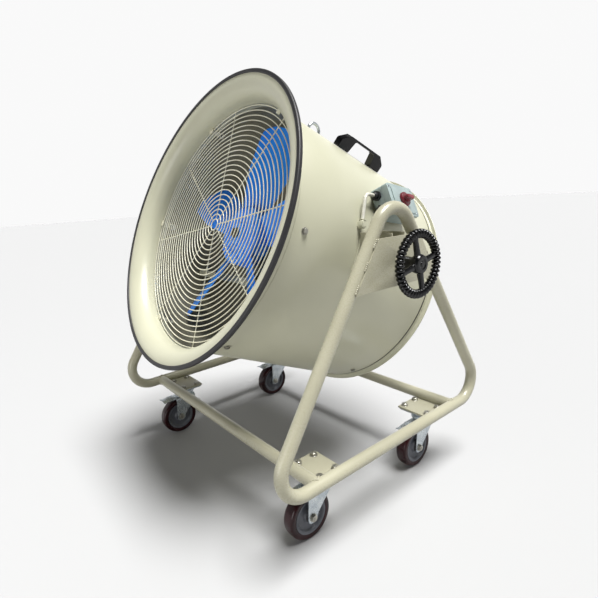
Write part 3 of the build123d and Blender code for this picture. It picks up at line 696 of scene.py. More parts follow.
# %% A nut on its washer
def hexagon_reach(turn, across):
    """Distance from the middle of a hexagon to its side, in one direction."""
    return across / 2 / cos((turn % (pi / 3)) - pi / 6)


def fastener(name, across, height, washer_diameter, washer, stud_diameter=0.0, stud=0.0):
    """Seed object: washer, hexagon with turned-away corners, and the bolt's end or a plain head."""
    bm = bmesh.new()
    if washer:
        rim = washer_diameter / 2
        add_turned(bm, [(0, 0), (rim - 0.0003, 0), (rim, washer * 0.3), (rim, washer * 0.8),
                        (rim - 0.0004, washer), (0, washer)], 28, False)
    top = washer + height
    reaches = [(t, hexagon_reach(t, across)) for t in turns(36)]
    chamfer = [0.5 * max(0.0, reach - across / 2 * 1.01) for t, reach in reaches]
    rings = [[(t, reach, washer) for t, reach in reaches],
             [(t, reach, top - c - 0.0004) for (t, reach), c in zip(reaches, chamfer)],
             [(t, across * 0.47, top) for t, reach in reaches]]
    rings = [[bm.verts.new((reach * cos(t), reach * sin(t), z)) for t, reach, z in ring] for ring in rings]
    skin(bm, rings)
    bm.faces.new(rings[-1])
    bm.faces.new(list(reversed(rings[0])))
    if stud:
        radius = stud_diameter / 2
        add_turned(bm, [(0, top - 0.001), (radius, top - 0.001), (radius, top + stud - 0.0008),
                        (radius - 0.0008, top + stud), (0, top + stud)], 16, False)
    return from_bmesh(name, bm)


# %% Tree that sets fasteners
fasteners = growing("fasteners", fastener=None, turn_spread=1.0, seed=3)
given = fasteners.given
shape = fasteners("GeometryNodeObjectInfo", Object=given["Fastener"], take="Geometry")
way = fasteners("GeometryNodeInputNamedAttribute", Name="outward", data_type="FLOAT_VECTOR")
turn = fasteners("FunctionNodeRandomValue", {2: 0.0, 3: given["Turn spread"]}, 1, Seed=given["Seed"],
                 data_type="FLOAT")
spun = fasteners("FunctionNodeAxisAngleToRotation", Axis=(0, 0, 1), Angle=turn)
faced = fasteners("FunctionNodeAlignRotationToVector", Vector=way, axis="Z")
aimed = fasteners("FunctionNodeRotateRotation", Rotation=faced, Rotate_By=spun, rotation_space="LOCAL")
finish_tree(fasteners, copied(fasteners, given["Geometry"], shape, Rotation=aimed))


def fastened(name, spots, seed_piece, body, slot, finish, *replaced):
    """Copies of one fastener, each facing its own way."""
    piece = grown(name, point_seed(spots), fasteners, smooth=25, fastener=seed_piece, finish=finish)
    bpy.data.objects.remove(seed_piece)
    return put(piece, body, slot, None, *replaced)


# %% Mounting plates and their nuts
dress(0.0012, stand_look, "caster_mounting_plates")
caster_points = {"front_left": (-0.363, -0.215), "front_right": (0.363, -0.215),
                 "rear_left": (-0.363, 0.215), "rear_right": (0.363, 0.215)}
bolt_x, bolt_y = 0.040, 0.026
nut_spots = [((x + i * bolt_x, y + j * bolt_y, plate_top), z_axis)
             for x, y in caster_points.values() for i, j in four_ways]
fastened("caster_plate_bolts", nut_spots, fastener("nut_seed", 0.0155, 0.0058, 0.021, 0.0016, 0.008, 0.0012),
         "frame", "zinc_steel", dull_zinc, "caster_plate_nuts")
print(len(nut_spots), "nuts")

# %% [markdown]
# ## Casters
# A swivel caster is a top plate with the upper race pressed into it, a ring of balls, and a fork
# whose crown carries the lower race. The fork is one pressed sheet, so it is made as one: a sheet
# that runs up one leg, over the crown and down the other, and is then given its thickness.

# %% The pressed fork
caster_top, crown_top = 0.169, 0.137
wheel_radius = 0.0625
axle_trail = 0.039
fork_half, fork_sheet, fork_bend = 0.024, 0.0032, 0.008
leg_end, leg_widest = 0.0146, 0.118


def leg_reach(z):
    """Rear and front edges of the fork's legs at a height, from the swivel axis."""
    if z < wheel_radius:
        half = leg_end * max(0.0, 1 - ((wheel_radius - z) / leg_end) ** 3) ** (1 / 3)
        return -axle_trail - half, -axle_trail + half
    lift = min(1.0, (z - wheel_radius) / (leg_widest - wheel_radius))
    ease = lift * lift * (3 - 2 * lift) * 0.35 + lift * 0.65
    return -axle_trail - leg_end + 0.0036 * ease, -axle_trail + leg_end + 0.0464 * ease


def pressed_fork(name, x, y):
    """One sheet up a leg, over the crown and down the other leg."""
    section = [(-fork_half, wheel_radius - 0.0144)]
    section += [(-fork_half, wheel_radius - leg_end * cos(radians(a))) for a in (20, 40, 60, 80)]
    section += [(-fork_half, wheel_radius + 0.004 + 0.0095 * k) for k in range(7)]
    section += [(-fork_half + fork_bend - fork_bend * cos(t), crown_top - fork_bend + fork_bend * sin(t))
                for t in map(radians, range(0, 91, 18))]
    section += [(-0.008, crown_top), (0.0, crown_top)]
    section += [(-u, z) for u, z in reversed(section[:-1])]
    rows = []
    for u, z in section:
        rear, front = leg_reach(z)
        rows.append([(x + u, y + rear + (front - rear) * k / 8, z) for k in range(9)])
    return pressed(name, rows, fork_sheet, 0.0007)


# %% [markdown]
# The wheel is a cast tread on a moulded core. Its sides show the rounded shoulder of the tread, a
# recessed web and a raised hub with a dark cap over the bearing, so it is three turned pieces.

# %% Profiles of the wheel and the races
tread_half = [(0.0470, 0.0155), (0.0500, 0.0172), (0.0560, 0.0178), (0.0600, 0.0160), (0.0620, 0.0120),
              (0.06245, 0.0060)]
core_half = [(0.0075, 0.0150), (0.0165, 0.0150), (0.0180, 0.0138), (0.0205, 0.0092), (0.0370, 0.0088),
             (0.0400, 0.0140), (0.0430, 0.0160), (0.0468, 0.0162)]
cap_half = [(0.0066, 0.0178), (0.0125, 0.0178), (0.0155, 0.0168), (0.0160, 0.0150)]
upper_race = [(0.0265, 0.1652), (0.0280, 0.1620), (0.0280, 0.1560), (0.0245, 0.1530)]
lower_race = [(0.0235, 0.1526), (0.0275, 0.1500), (0.0280, 0.1440), (0.0235, 0.1385), (0.0215, 0.1366)]
kingpin = [(0.0105, 0.1340), (0.0105, 0.1290), (0.0060, 0.1275)]
core_bore, tread_bore = 0.0064, 0.0455


def both_sides(half, inner):
    """Whole profile of a wheel piece from one side's, closed through its inner radius."""
    return [(inner, half[0][1])] + half + [(r, -h) for r, h in reversed(half)] + [(inner, -half[0][1])]


# %% Wheels, top plates, races and forks
wheel_parts = (
    ("tread", both_sides(eased(tread_half, 0.002, closed=False), tread_bore), 96, tread_rubber),
    ("wheel_core", both_sides(eased(core_half, 0.0012, closed=False), core_bore), 72, core_plastic),
    ("bearing_caps", both_sides(cap_half, core_bore), 48, dark_cap))
for name, (x, y) in caster_points.items():
    axle = at((x, y - axle_trail, wheel_radius)) @ Matrix.Rotation(pi / 2, 4, "Y")
    fork_body = f"caster_{name}"
    for part, profile, sides, finish in wheel_parts:
        put(turned(f"{part}_{name}", profile, axle, sides), f"wheel_{name}", "wheel_rubber", finish,
            *([f"caster_wheel_{name}"] if part == "tread" else []))

    plate = cut(f"caster_top_plate_{name}", eased(rectangle(0.105, 0.080, (x, y)), 0.009), caster_top - 0.004,
                caster_top, bevel=0.0008)
    swivel = at((x, y, 0))
    cup = solid_turned(f"upper_race_{name}", upper_race, 0.001, swivel, 64)
    put(merged(f"caster_top_{name}", plate, cup), "frame", "zinc_steel", zinc,
        *(["caster_top_plates"] if name == "front_left" else []))

    dish = solid_turned(f"lower_race_{name}", lower_race, 0.001, swivel, 64)
    pin = solid_turned(f"kingpin_{name}", kingpin, 0.0008, swivel, 36)
    fork = merged(f"fork_{name}", pressed_fork(f"fork_sheet_{name}", x, y), dish, pin)
    put(fork, fork_body, "zinc_steel", zinc, f"caster_fork_{name}")
    ends = [((x + i * fork_half, y - axle_trail, wheel_radius), (i, 0, 0)) for i in (-1, 1)]
    fastened(f"axle_bolt_{name}", ends, fastener("axle_seed", 0.0165, 0.0054, 0.021, 0.0012, 0.008, 0.0010),
             fork_body, "zinc_steel", dull_zinc)
    spacer = solid_turned(f"axle_{name}", [(0.0058, -0.022), (0.0058, 0.022)], 0.0005, axle, 32)
    put(spacer, fork_body, "zinc_steel", zinc)

# %% [markdown]
# The brake pedal is a pressed lever above the wheel. Its side view is a smooth curve that dips to
# the tread and ends in a lip for the toe, and it is narrower at the pivot than at the toe.

# %% The pedal's lever
pedal_side = eased([(0.003, 0.1355), (-0.014, 0.1385), (-0.030, 0.1368), (-0.043, 0.1338), (-0.0555, 0.1345)],
                   0.008, 5, closed=False)
pedal_back = 0.040


def pedal_lever(name, x, y):
    """Curved lever, wider at the toe, with its sides turned down."""
    rows = []
    for k, (reach, z) in enumerate(pedal_side):
        done = k / (len(pedal_side) - 1)
        half = 0.0165 + 0.0032 * sin(done * pi * 0.8)
        drop = 0.0075 * (1 - done) + 0.0016
        section = [(-half, z - drop), (-half, z - 0.003), (-half + 0.002, z - 0.0006), (-half * 0.4, z)]
        section += [(-u, h) for u, h in reversed(section)]
        rows.append([(x + u, y - pedal_back + reach, h) for u, h in section])
    return pressed(name, rows, 0.0022, 0.0005)


# %% The four pedals
for name, (x, y) in caster_points.items():
    lever = pedal_lever(f"pedal_lever_{name}", x, y)
    shoe = cut(f"brake_shoe_{name}", rectangle(0.026, 0.010, (x, y - 0.056)), 0.1270, 0.1345, bevel=0.0008)
    hinge = solid_turned(f"pedal_pin_{name}", [(0.0030, -0.0195), (0.0030, 0.0195)], 0.0004,
                         at((x, y - pedal_back, 0.131)) @ Matrix.Rotation(pi / 2, 4, "Y"), 20)
    put(merged(f"pedal_{name}", lever, shoe, hinge), f"pedal_{name}", "pedal_steel", zinc, f"brake_pedal_{name}")
print("casters:", len(caster_points))

# %% [markdown]
# ## The pivot on the stand
# A trapezoid of sheet is welded on the outside of the two legs, and a channel bridges from it in
# to the drum. The pivot's sleeve passes through both. The plate is held by short stitches of weld
# along each leg, as thin sheet would warp under a full bead.

# %% Plates, channels and sleeves
dress(0.0008, stand_look, "pivot_plates")
dress(0.0012, stand_look, "pivot_channels")
dress(0.0008, stand_look, "pivot_sleeves")

sleeve_low, sleeve_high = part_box("pivot_sleeves")
sleeve_radius = (sleeve_high.z - sleeve_low.z) / 2
plate_low, plate_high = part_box("pivot_plates")
stitch_length, stitch_step, stitch_lift = 0.015, 0.047, 0.0010


def leg_y(z):
    """Distance of a leg's centre line from the middle at a height."""
    return stand_length / 2 * (apex_height - z) / (apex_height - rail_height)


stitches = []
for i, j in four_ways:
    for k in range(3):
        z = plate_low.z + 0.006 + k * stitch_step
        stitches.append([(i * (frame_x + tube_radius + stitch_lift), j * (leg_y(h) + stitch_lift), h)
                         for h in (z, z + stitch_length)])
welded("pivot_plate_stitches", stitches, 0.0056, spacing=0.0036)
rings = [[(x, sleeve_radius * cos(t), pivot_height + sleeve_radius * sin(t)) for t in turns(32)]
         for x in (plate_high.x, -plate_high.x)]
welded("sleeve_welds", rings, 0.0040, cyclic=True)
print(len(stitches), "stitches")

# %% [markdown]
# ## Drum, bell and edge
# The drum is rolled sheet with a lip turned out at the rear and a groove in front of it. The bell
# is a ring spun over a form, so its section is a true quarter round. A rubber strip is pushed over
# the bell's edge. The drum is turned in one go and then shared out by finish: the paint outside,
# a dark rubber tone in the groove as painted shade, and a darker olive tone inside as painted shade
# for the deep shadow within the drum.

# %% The drum's sheet
painted_shade_front = 0.232
rear_lip = [(0, 0.0190), (-0.0016, 0.0184), (-0.0016, 0.0146), (0, 0.0140), (0, 0.0075), (0.0010, 0.0045),
            (0.0028, 0.0032), (0.0045, 0.0030), (0.0114, 0.0030), (0.0120, 0.0024), (0.0120, 0.0006),
            (0.0114, 0), (0.0050, 0), (0.0005, 0.0010)]
lip_inside = [(0.0006, 0.0040), (0, 0.0075), (0, 0.012)]
shell = turned("drum_sheet", [
    (bore_radius, seam_station - 0.0004), (drum_radius - 0.0006, seam_station - 0.0004),
    (drum_radius, seam_station - 0.0012), (drum_radius, 0.10), (drum_radius, -0.10),
    *shifted(rear_lip, drum_radius, rear_station), *shifted(lip_inside, bore_radius, rear_station),
    (bore_radius, 0.0), (bore_radius, painted_shade_front)], drum_place, 256)

# %% Sharing it out by finish
inner_face, groove_floor = bore_radius + 0.0003, drum_radius - 0.0004
groove_station, groove_half = 0.0165, 0.003
into_drum = drum_place.inverted()


def in_painted_shade(point):
    """Painted shade: the faces inside the drum, behind the front guard, that take the darker tone."""
    local = into_drum @ point
    return local.xy.length <= inner_face and local.z < painted_shade_front


def in_groove(point):
    """The groove in front of the rear lip, whose faces take a dark tone as painted shade."""
    local = into_drum @ point
    off_middle = abs(local.z - rear_station - groove_station)
    return inner_face < local.xy.length < groove_floor and off_middle < groove_half


put(share(shell, "drum_outside", lambda p: not in_painted_shade(p) and not in_groove(p)), *drum_look, "drum_shell")
# Painted shade: the groove before the rear lip gets the dark rubber tone of a shadowed line.
put(share(shell, "lip_seal", in_groove), "drum", "edge_rubber", edge_rubber)
# Painted shade: the inside of the drum behind the front guard gets the darker olive tone.
put(share(shell, "drum_inside", in_painted_shade), "drum", "drum_paint", drum_lining)
bpy.data.objects.remove(shell)

# %% The bell and its edge strip
bell_flare, bell_edge = 0.046, 0.404
flare_start, flare_x = lip_station - bell_flare, bore_radius + bell_flare
flare_steps = 14


def flare(radius):
    """One side of the bell's quarter round."""
    quarter = [radians(90 * k / flare_steps) for k in range(flare_steps + 1)]
    return [(flare_x - radius * cos(t), flare_start + radius * sin(t)) for t in quarter]


bell = turned("bell_sheet", [(bore_radius, seam_station + 0.0002), *flare(bell_flare), (bell_edge, lip_station),
                             (bell_edge, lip_station - drum_wall), *reversed(flare(bell_flare - drum_wall)),
                             (drum_radius, seam_station + 0.0008), (drum_radius - 0.0006, seam_station + 0.0002)],
              drum_place, 256)
put(bell, *drum_look, "bell_mouth")

trim_outer = bell_edge + 0.0036
strip = shifted([(-0.0112, 0.0001), (-0.0106, 0.0026), (-0.0085, 0.0034), (-0.0020, 0.0035), (0, 0.0015),
                 (0, -0.0056), (-0.0016, -0.0070), (-0.0100, -0.0070), (-0.0105, -0.0050)],
                trim_outer, lip_station)
strip += shifted([(0.0001, -0.0040), (0.0001, 0.0001)], bell_edge, lip_station)
trim = turned("edge_strip", eased(strip, 0.0012, 3), drum_place, 256)
put(trim, "drum", "edge_rubber", edge_rubber, "bell_edge_trim")
print("trim reaches", trim_outer)

# %% [markdown]
# ## Wire guards
# Each guard is a family of rings welded on eight spokes. Because the rings follow a rule, one
# count and one pitch describe them all. The tree sets a circle at each step, sweeps the wire round
# it and adds the spokes behind.

# %% Tree for a wire guard
wire_guard = growing("wire_guard", ring_count=24, ring_pitch=0.0142, outer_radius=0.344, wire_diameter=0.0031,
                     spoke_count=8, first_spoke=radians(100), facing=1.0)
given = wire_guard.given
half_wire = wire_guard.times(given["Wire diameter"], 0.5)
wire = circle(wire_guard, 8, half_wire)
middle = wire_guard.less(given["Outer radius"], half_wire)
spoke_side = -0.85


def ring_radius(number_of_ring):
    """Radius of one ring, counted from the outermost."""
    return wire_guard.less(middle, wire_guard.times(number_of_ring, given["Ring pitch"]))


radius = ring_radius(wire_guard("GeometryNodeInputIndex"))
steps = wire_guard("GeometryNodePoints", Count=given["Ring count"])
circles = copied(wire_guard, steps, circle(wire_guard, 160, 1.0),
                 Scale=wire_guard("ShaderNodeCombineXYZ", X=radius, Y=radius, Z=1.0))
circles = wire_guard("GeometryNodeRealizeInstances", Geometry=circles)
lift = wire_guard.times(given["Facing"], half_wire)
rings = moved(wire_guard, swept(wire_guard, circles, wire), Z=lift)
innermost = ring_radius(wire_guard.less(given["Ring count"], 1.0))
line = wire_guard("GeometryNodeCurvePrimitiveLine", Start=wire_guard("ShaderNodeCombineXYZ", X=innermost),
                  End=wire_guard("ShaderNodeCombineXYZ", X=middle))
spoke = swept(wire_guard, line, wire, Fill_Caps=True)
spokes = set_round(wire_guard, spoke, given["Spoke count"], given["First spoke"])
spokes = wire_guard("GeometryNodeRealizeInstances", Geometry=spokes)
spokes = moved(wire_guard, spokes, Z=wire_guard.times(lift, spoke_side))
whole = wire_guard("GeometryNodeJoinGeometry", {0: rings})
wire_guard.join(spokes, whole.node.inputs[0])
finish_tree(wire_guard, whole)

# %% The two guards
guard_outer = bore_radius - 0.0029
for name, station, way, count, pitch in (("front", 0.249, 1.0, 24, 0.0142), ("rear", -0.293, -1.0, 6, 0.057)):
    guard = grown(f"{name}_wires", point_seed(), wire_guard, drum_place @ at((0, 0, station)), smooth=80,
                  ring_count=count, ring_pitch=pitch, outer_radius=guard_outer, facing=way, finish=cream_wire)
    put(guard, "drum", "guard_wire", None, f"{name}_guard")

# %% Clips and bolts of the guards
dress(0.0004, ("drum", "guard_wire", cream_wire), "front_guard_clips", "rear_guard_clips")
bolts = [facing(round_drum(radians(30 + 60 * k), station)) for station in (0.220, -0.264) for k in range(6)]
fastened("guard_bolt_heads", bolts, fastener("bolt_seed", 0.012, 0.0046, 0.0180, 0.0014), "drum", "zinc_steel",
         dull_zinc, "guard_bolts")
clip_inside = drum_wall + 0.0024
fastened("guard_bolt_nuts", [(spot - way * clip_inside, -way) for spot, way in bolts],
         fastener("nut_seed", 0.012, 0.0050, 0.0, 0.0, 0.007, 0.0030), "drum", "zinc_steel", dull_zinc)

# %% [markdown]
# ## Motor
# The motor is a finned barrel with an end shield at each end and a cover over its own fan. The
# fins follow a rule, so one bar is set round the barrel. The feet stand on the motor plate.

# %% Tree for cooling fins
fin_ring = growing("fin_ring", fin_count=40, barrel_radius=0.086, fin_height=0.009, fin_thickness=0.0026,
                   fin_length=0.16)
given = fin_ring.given
bar = fin_ring("GeometryNodeMeshCube", Size=fin_ring(
    "ShaderNodeCombineXYZ", X=given["Fin height"], Y=given["Fin thickness"], Z=given["Fin length"]))
reach = fin_ring.math("ADD", given["Barrel radius"], fin_ring.times(given["Fin height"], 0.5))
finish_tree(fin_ring, set_round(fin_ring, moved(fin_ring, bar, X=reach), given["Fin count"]), smooth=False)

# %% The motor and its plate
motor_front, motor_length, motor_radius = 0.084, 0.230, 0.095
motor_rear = motor_front - motor_length
shield = shifted([(0.026, -0.004), (0.030, -0.001), (0.050, -0.004), (0.086, -0.012), (0.094, -0.018),
                  (0.094, -0.032), (0.087, -0.034)], 0, motor_front)
fan_cover = shifted([(0.087, 0.034), (0.094, 0.032), (0.094, 0.012), (0.0945, 0), (0.0945, -0.040),
                     (0.089, -0.049), (0.070, -0.050)], 0, motor_rear)
barrel = solid_turned("motor_barrel", shield + fan_cover, 0.003, drum_place, 96)
put(barrel, "drum", "motor_paint", motor_grey, "motor")


def ribbed(name, station, **sizes):
    """Ring of fins round the motor's axis."""
    put(grown(name, point_seed(), fin_ring, drum_place @ at((0, 0, station)), finish=motor_grey, **sizes),
        "drum", "motor_paint", None)


ribbed("motor_fins", (motor_front + motor_rear) / 2, fin_count=44, barrel_radius=0.0855, fin_height=0.009,
       fin_length=motor_length - 0.070)
ribbed("fan_cover_ribs", motor_rear - 0.0502, fin_count=28, barrel_radius=0.022, fin_height=0.056,
       fin_thickness=0.0030, fin_length=0.0028)
plate_height, foot_length = -0.112, 0.035
foot_outline = [(0.0901, 0), (0.0901, 0.010), (0.078, 0.016), (0.072, 0.060), (0.050, 0.060), (0.054, 0)]
feet = []
for i in (-1, 1):
    outline = eased([(i * x, plate_height + y) for x, y in foot_outline], 0.003)[::i]
    for low in (motor_rear + 0.040, motor_rear + 0.145):
        feet.append(cut("foot", outline, low, low + foot_length, drum_place, bevel=0.0010))
put(merged("motor_feet", *feet), "drum", "motor_paint", motor_grey)
dress(0.0010, drum_look, "motor_plate")
print("motor:", motor_length, "long")

# %% [markdown]
# ## Impeller
# The hub is a spun cap over the blade roots. Each blade is a paddle of thick sheet with round
# corners. It is set at the blade pitch, dished a little across its width, and its leading edge
# tapers to the tip, so it is built as a grid over the paddle's outline and then given its
# thickness.

# %% Hub and shaft
impeller_station = 0.140
hub_radius, hub_front, hub_rear, shaft_radius = 0.088, 0.168, 0.112, 0.0141
cap = shifted([(hub_radius, -0.006), (hub_radius - 0.010, 0), (0.060, 0), (0.054, -0.004), (0.040, -0.004),
               (0.034, 0.002), (0.032, 0.010), (shaft_radius, 0.010)], 0, hub_front)
hub = turned("hub_cap", eased([(shaft_radius, hub_rear), (hub_radius, hub_rear), *cap], 0.0035), drum_place)
put(hub, "impeller", "hub_paint", blue_paint, "impeller_hub")
stub = [(0.014, motor_front + 0.0003)]
stub += shifted([(0.014, 0.0165), (0.0125, 0.018), (0.004, 0.018), (0.0035, 0.015)], 0, hub_front)
put(solid_turned("shaft_end", stub, 0.0008, drum_place, 48), "impeller", "zinc_steel", dark_steel, "motor_shaft")
bolt_circle, bolt_spread = 0.072, 11
blade_turns = [3 + 72 * k for k in range(5)]
bolt_turns = [radians(turn + spread) for turn in blade_turns for spread in (-bolt_spread, bolt_spread)]
bolts = [facing(drum_place, (bolt_circle * sin(t), bolt_circle * cos(t), hub_front)) for t in bolt_turns]
fastened("hub_bolts", bolts, fastener("hub_bolt_seed", 0.010, 0.0040, 0.0150, 0.0012),
         "impeller", "hub_paint", blue_paint)

# %% Width of a blade
blade_pitch = radians(30)
tip_radius = bore_radius - 0.012
blade_tip, blade_root, tip_corner = 0.164, 0.088, 0.028
blade_sheet, blade_dish, leading_taper = 0.0036, 0.0045, 0.42
blade_start, root_x = hub_radius - 0.006, hub_radius - 0.010
corner_x = sqrt(tip_radius**2 - (blade_tip / 2 * cos(blade_pitch)) ** 2)
outer_part, outer_swell = 0.130, 0.004
outer_x = corner_x - outer_part


def half_chord(reach):
    """Half of the blade's width at a distance from the axis."""
    if reach < outer_x:
        t = (reach - root_x) / (outer_x - root_x)
        return blade_root / 2 + (blade_tip / 2 - outer_swell - blade_root / 2) * t
    return blade_tip / 2 - outer_swell + outer_swell * (reach - outer_x) / outer_part


# %% One paddle blade
def paddle(name, angle):
    """Dished paddle as a grid: across the chord in one way, hub to tip in the other."""
    rows, columns = 44, 22
    grid = []
    for i in range(rows + 1):
        done = i / rows
        row = []
        for j in range(columns + 1):
            across = 2 * j / columns - 1
            edge_x = corner_x + (tip_radius - corner_x) * (1 - across**2)
            reach = blade_start + (edge_x - blade_start) * done**0.85
            width = half_chord(min(reach, corner_x))
            over = min(tip_corner, max(0.0, reach - corner_x + tip_corner))
            width -= tip_corner - sqrt(tip_corner**2 - over**2)
            chord = across * width * (1.0 if across > 0 else 1.0 - leading_taper * (0.45 + 0.55 * done))
            dish = -blade_dish * (1 - across**2) * min(1.0, (reach - root_x) / 0.06)
            row.append((reach, chord, dish))
        grid.append(row)
    outward = outward_at(angle)
    chord_way = outward.cross(z_axis) * cos(blade_pitch) - z_axis * sin(blade_pitch)
    spot = drum_place @ place_by(outward, chord_way, outward.cross(chord_way), (0, 0, impeller_station))
    return pressed(name, grid, blade_sheet, 0.0012, spot, on_top=False, segments=3)


for k, turn in enumerate(blade_turns, 1):
    put(paddle(f"blade_{k}", radians(turn)), "impeller", "impeller_paint", blue_paint, f"impeller_blade_{k}")
print("impeller tip radius:", round(tip_radius, 4))

# %% [markdown]
# ## Pivot spindles and handwheel
# The drum's pads and spindles keep their solids' shape. The handwheel is moulded plastic with a
# rim of deep grip ridges. The rim follows a rule: a circle is swept round a larger circle, and the
# sweep swells and shrinks once for each ridge.

# %% Spindles
pad_face = drum_radius + 0.0038
whole_pivot = softened("pivot_spindles", 0.0008)
put(share(whole_pivot, "pivot_pads", lambda p: abs(p.x) < pad_face), *drum_look)
put(share(whole_pivot, "spindles", lambda p: abs(p.x) >= pad_face), "drum", "zinc_steel", zinc, "pivot_spindles")
bpy.data.objects.remove(whole_pivot)

# %% Tree for the ridged rim
ridged_rim = growing("ridged_rim", rim_radius=0.069, rim_thickness=0.022, ridge_count=44, ridge_depth=0.2)
given = ridged_rim.given
loop = circle(ridged_rim, ridged_rim.times(given["Ridge count"], 12.0), given["Rim radius"])
section = circle(ridged_rim, 20, ridged_rim.times(given["Rim thickness"], 0.5))
done = ridged_rim("GeometryNodeSplineParameter", take="Factor")
phase = ridged_rim.times(ridged_rim.times(done, given["Ridge count"]), pi)
crest = ridged_rim.math("POWER", ridged_rim.math("ABSOLUTE", ridged_rim.math("SINE", phase)), 0.6)
dip = ridged_rim.times(ridged_rim.less(1.0, crest), given["Ridge depth"])
finish_tree(ridged_rim, swept(ridged_rim, loop, section, Scale=ridged_rim.less(1.0, dip)))

# %% The handwheel's rim
sleeve_end, wheel_gap = 0.4565, 0.050
wheel_place = endways((sleeve_end + wheel_gap, 0, pivot_height))
rim = grown("handwheel_rim", point_seed(), ridged_rim, wheel_place, smooth=60, ridge_count=44, ridge_depth=0.48,
            finish=black_gloss)
put(rim, "handwheel", "black_plastic", None, "tilt_handwheel")


# %% Its arms and centre
def squared(value):
    """Sine or cosine pushed outwards, which makes a round section squarer."""
    return abs(value) ** 0.7 * (1 if value >= 0 else -1)


def arm(angle):
    """Arm from the handwheel's centre to its rim, waisted in the middle."""
    bm = bmesh.new()
    rows = []
    for t in (i / 12 for i in range(13)):
        reach = 0.014 + 0.048 * t
        half_width = 0.0062 + 0.0030 * (2 * t - 1) ** 4 + 0.0016 * (1 - t)
        half_depth = 0.0050 + 0.0018 * (1 - t)
        ring = [Vector((reach, half_width * squared(cos(a)), half_depth * squared(sin(a)))) for a in turns(16)]
        rows.append([bm.verts.new(Matrix.Rotation(angle, 3, "Z") @ point) for point in ring])
    skin(bm, rows)
    bm.faces.new(list(reversed(rows[0])))
    bm.faces.new(rows[-1])
    return from_bmesh("arm", bm, wheel_place)


arms = [arm(radians(13 + 90 * k)) for k in range(4)]
centre = solid_turned("wheel_centre", [
    (0.0165, -0.0100), (0.0215, -0.0080), (0.0228, -0.0020), (0.0228, 0.0060), (0.0200, 0.0112), (0.0125, 0.0118),
    (0.0105, 0.0100), (0.0060, 0.0100), (0.0050, 0.0116)], 0.0012, wheel_place, 48)
neck = turned("wheel_neck", eased([(0.0101, -0.0496), (0.0160, -0.0496), (0.0168, -0.0480), (0.0150, -0.0200),
                                   (0.0168, -0.0080), (0.0101, -0.0080)], 0.0015), wheel_place, 40)
put(merged("handwheel_body", centre, neck, *arms), "handwheel", "black_plastic", black_gloss)
print("handwheel arms:", len(arms))

# %% [markdown]
# ## Handle and lifting eye
# The pull handle is moulded: two ribbed wedge feet and a thin bridge. Its outline is drawn in the
# plane through the drum's axis and cut to width, and the ribs are laid on the feet.

# %% Pull handle
handle_out = outward_at(radians(28))
handle_place = drum_place @ place_by(z_axis, handle_out, z_axis.cross(handle_out))
front, rear, foot, top = 0.041, -0.140, 0.041, drum_radius + 0.044
sole, shoulder, shoulder_drop, grip, slope = drum_radius + 0.0004, 0.026, 0.020, 0.0065, 0.007
half_width, rib_half = 0.0135, 0.0007
outline = [(front, sole), (front, top - shoulder_drop), (front - shoulder, top), (rear + shoulder, top),
           (rear, top - shoulder_drop), (rear, sole), (rear + foot, sole), (rear + foot + slope, top - grip),
           (front - foot - slope, top - grip), (front - foot, sole)]
bridge = cut("handle_body", eased(outline, 0.0022), -half_width, half_width, handle_place, bevel=0.0022, smooth=50)
ribs = []
rib_sole = drum_radius + 0.003
for i in range(9):
    z = -0.0115 + 0.023 * i / 8
    for a, b in ((front, -1), (rear, 1)):
        points = [(a, rib_sole), (a, top - 0.0205), (a + b * (shoulder - 0.002), top - 0.0004),
                  (a + b * (foot + 0.004), top - 0.0004), (a + b * (foot - 0.004), rib_sole)][::-b]
        ribs.append(cut("rib", points, z - rib_half, z + rib_half, handle_place, bevel=0.0))
put(merged("pull_handle_body", bridge, *ribs), "drum", "black_plastic", black_gloss, "pull_handle")
print("handle length:", round(front - rear, 3))

# %% [markdown]
# The lifting eye is forged: a ring on a neck that swells into a round collar. The ring is a circle
# swept round, and the neck and collar are one turned piece.

# %% Lifting eye
eye_station, eye_height, eye_ring, eye_wire = 0.005, 0.045, 0.022, 0.00495
ring_place = drum_place @ at((0, drum_radius + eye_height, eye_station)) @ Matrix.Rotation(pi / 2, 4, "Y")
loop = [(eye_ring + eye_wire * cos(t), eye_wire * sin(t)) for t in turns(24)]
ring = turned("eye_ring", loop, ring_place, 72, smooth=80)
foot_place = drum_place @ at((0, drum_radius, eye_station)) @ Matrix.Rotation(-pi / 2, 4, "X")
neck = solid_turned("eye_neck", [(0.0168, 0.0003), (0.0176, 0.0020), (0.0176, 0.0075), (0.0160, 0.0090),
                                 (0.0080, 0.0125), (0.0052, 0.0190), (0.0050, 0.0260)], 0.0015, foot_place, 48)
put(merged("lifting_eye_body", ring, neck), "drum", "zinc_steel", zinc, "lifting_eye")

# %% [markdown]
# ## Isolator
# The isolator is a plastic box in two halves on a bent bracket, with a red grip on its lid and two
# cable glands at the front. It sits a little askew to the drum's axis, as in the photograph.

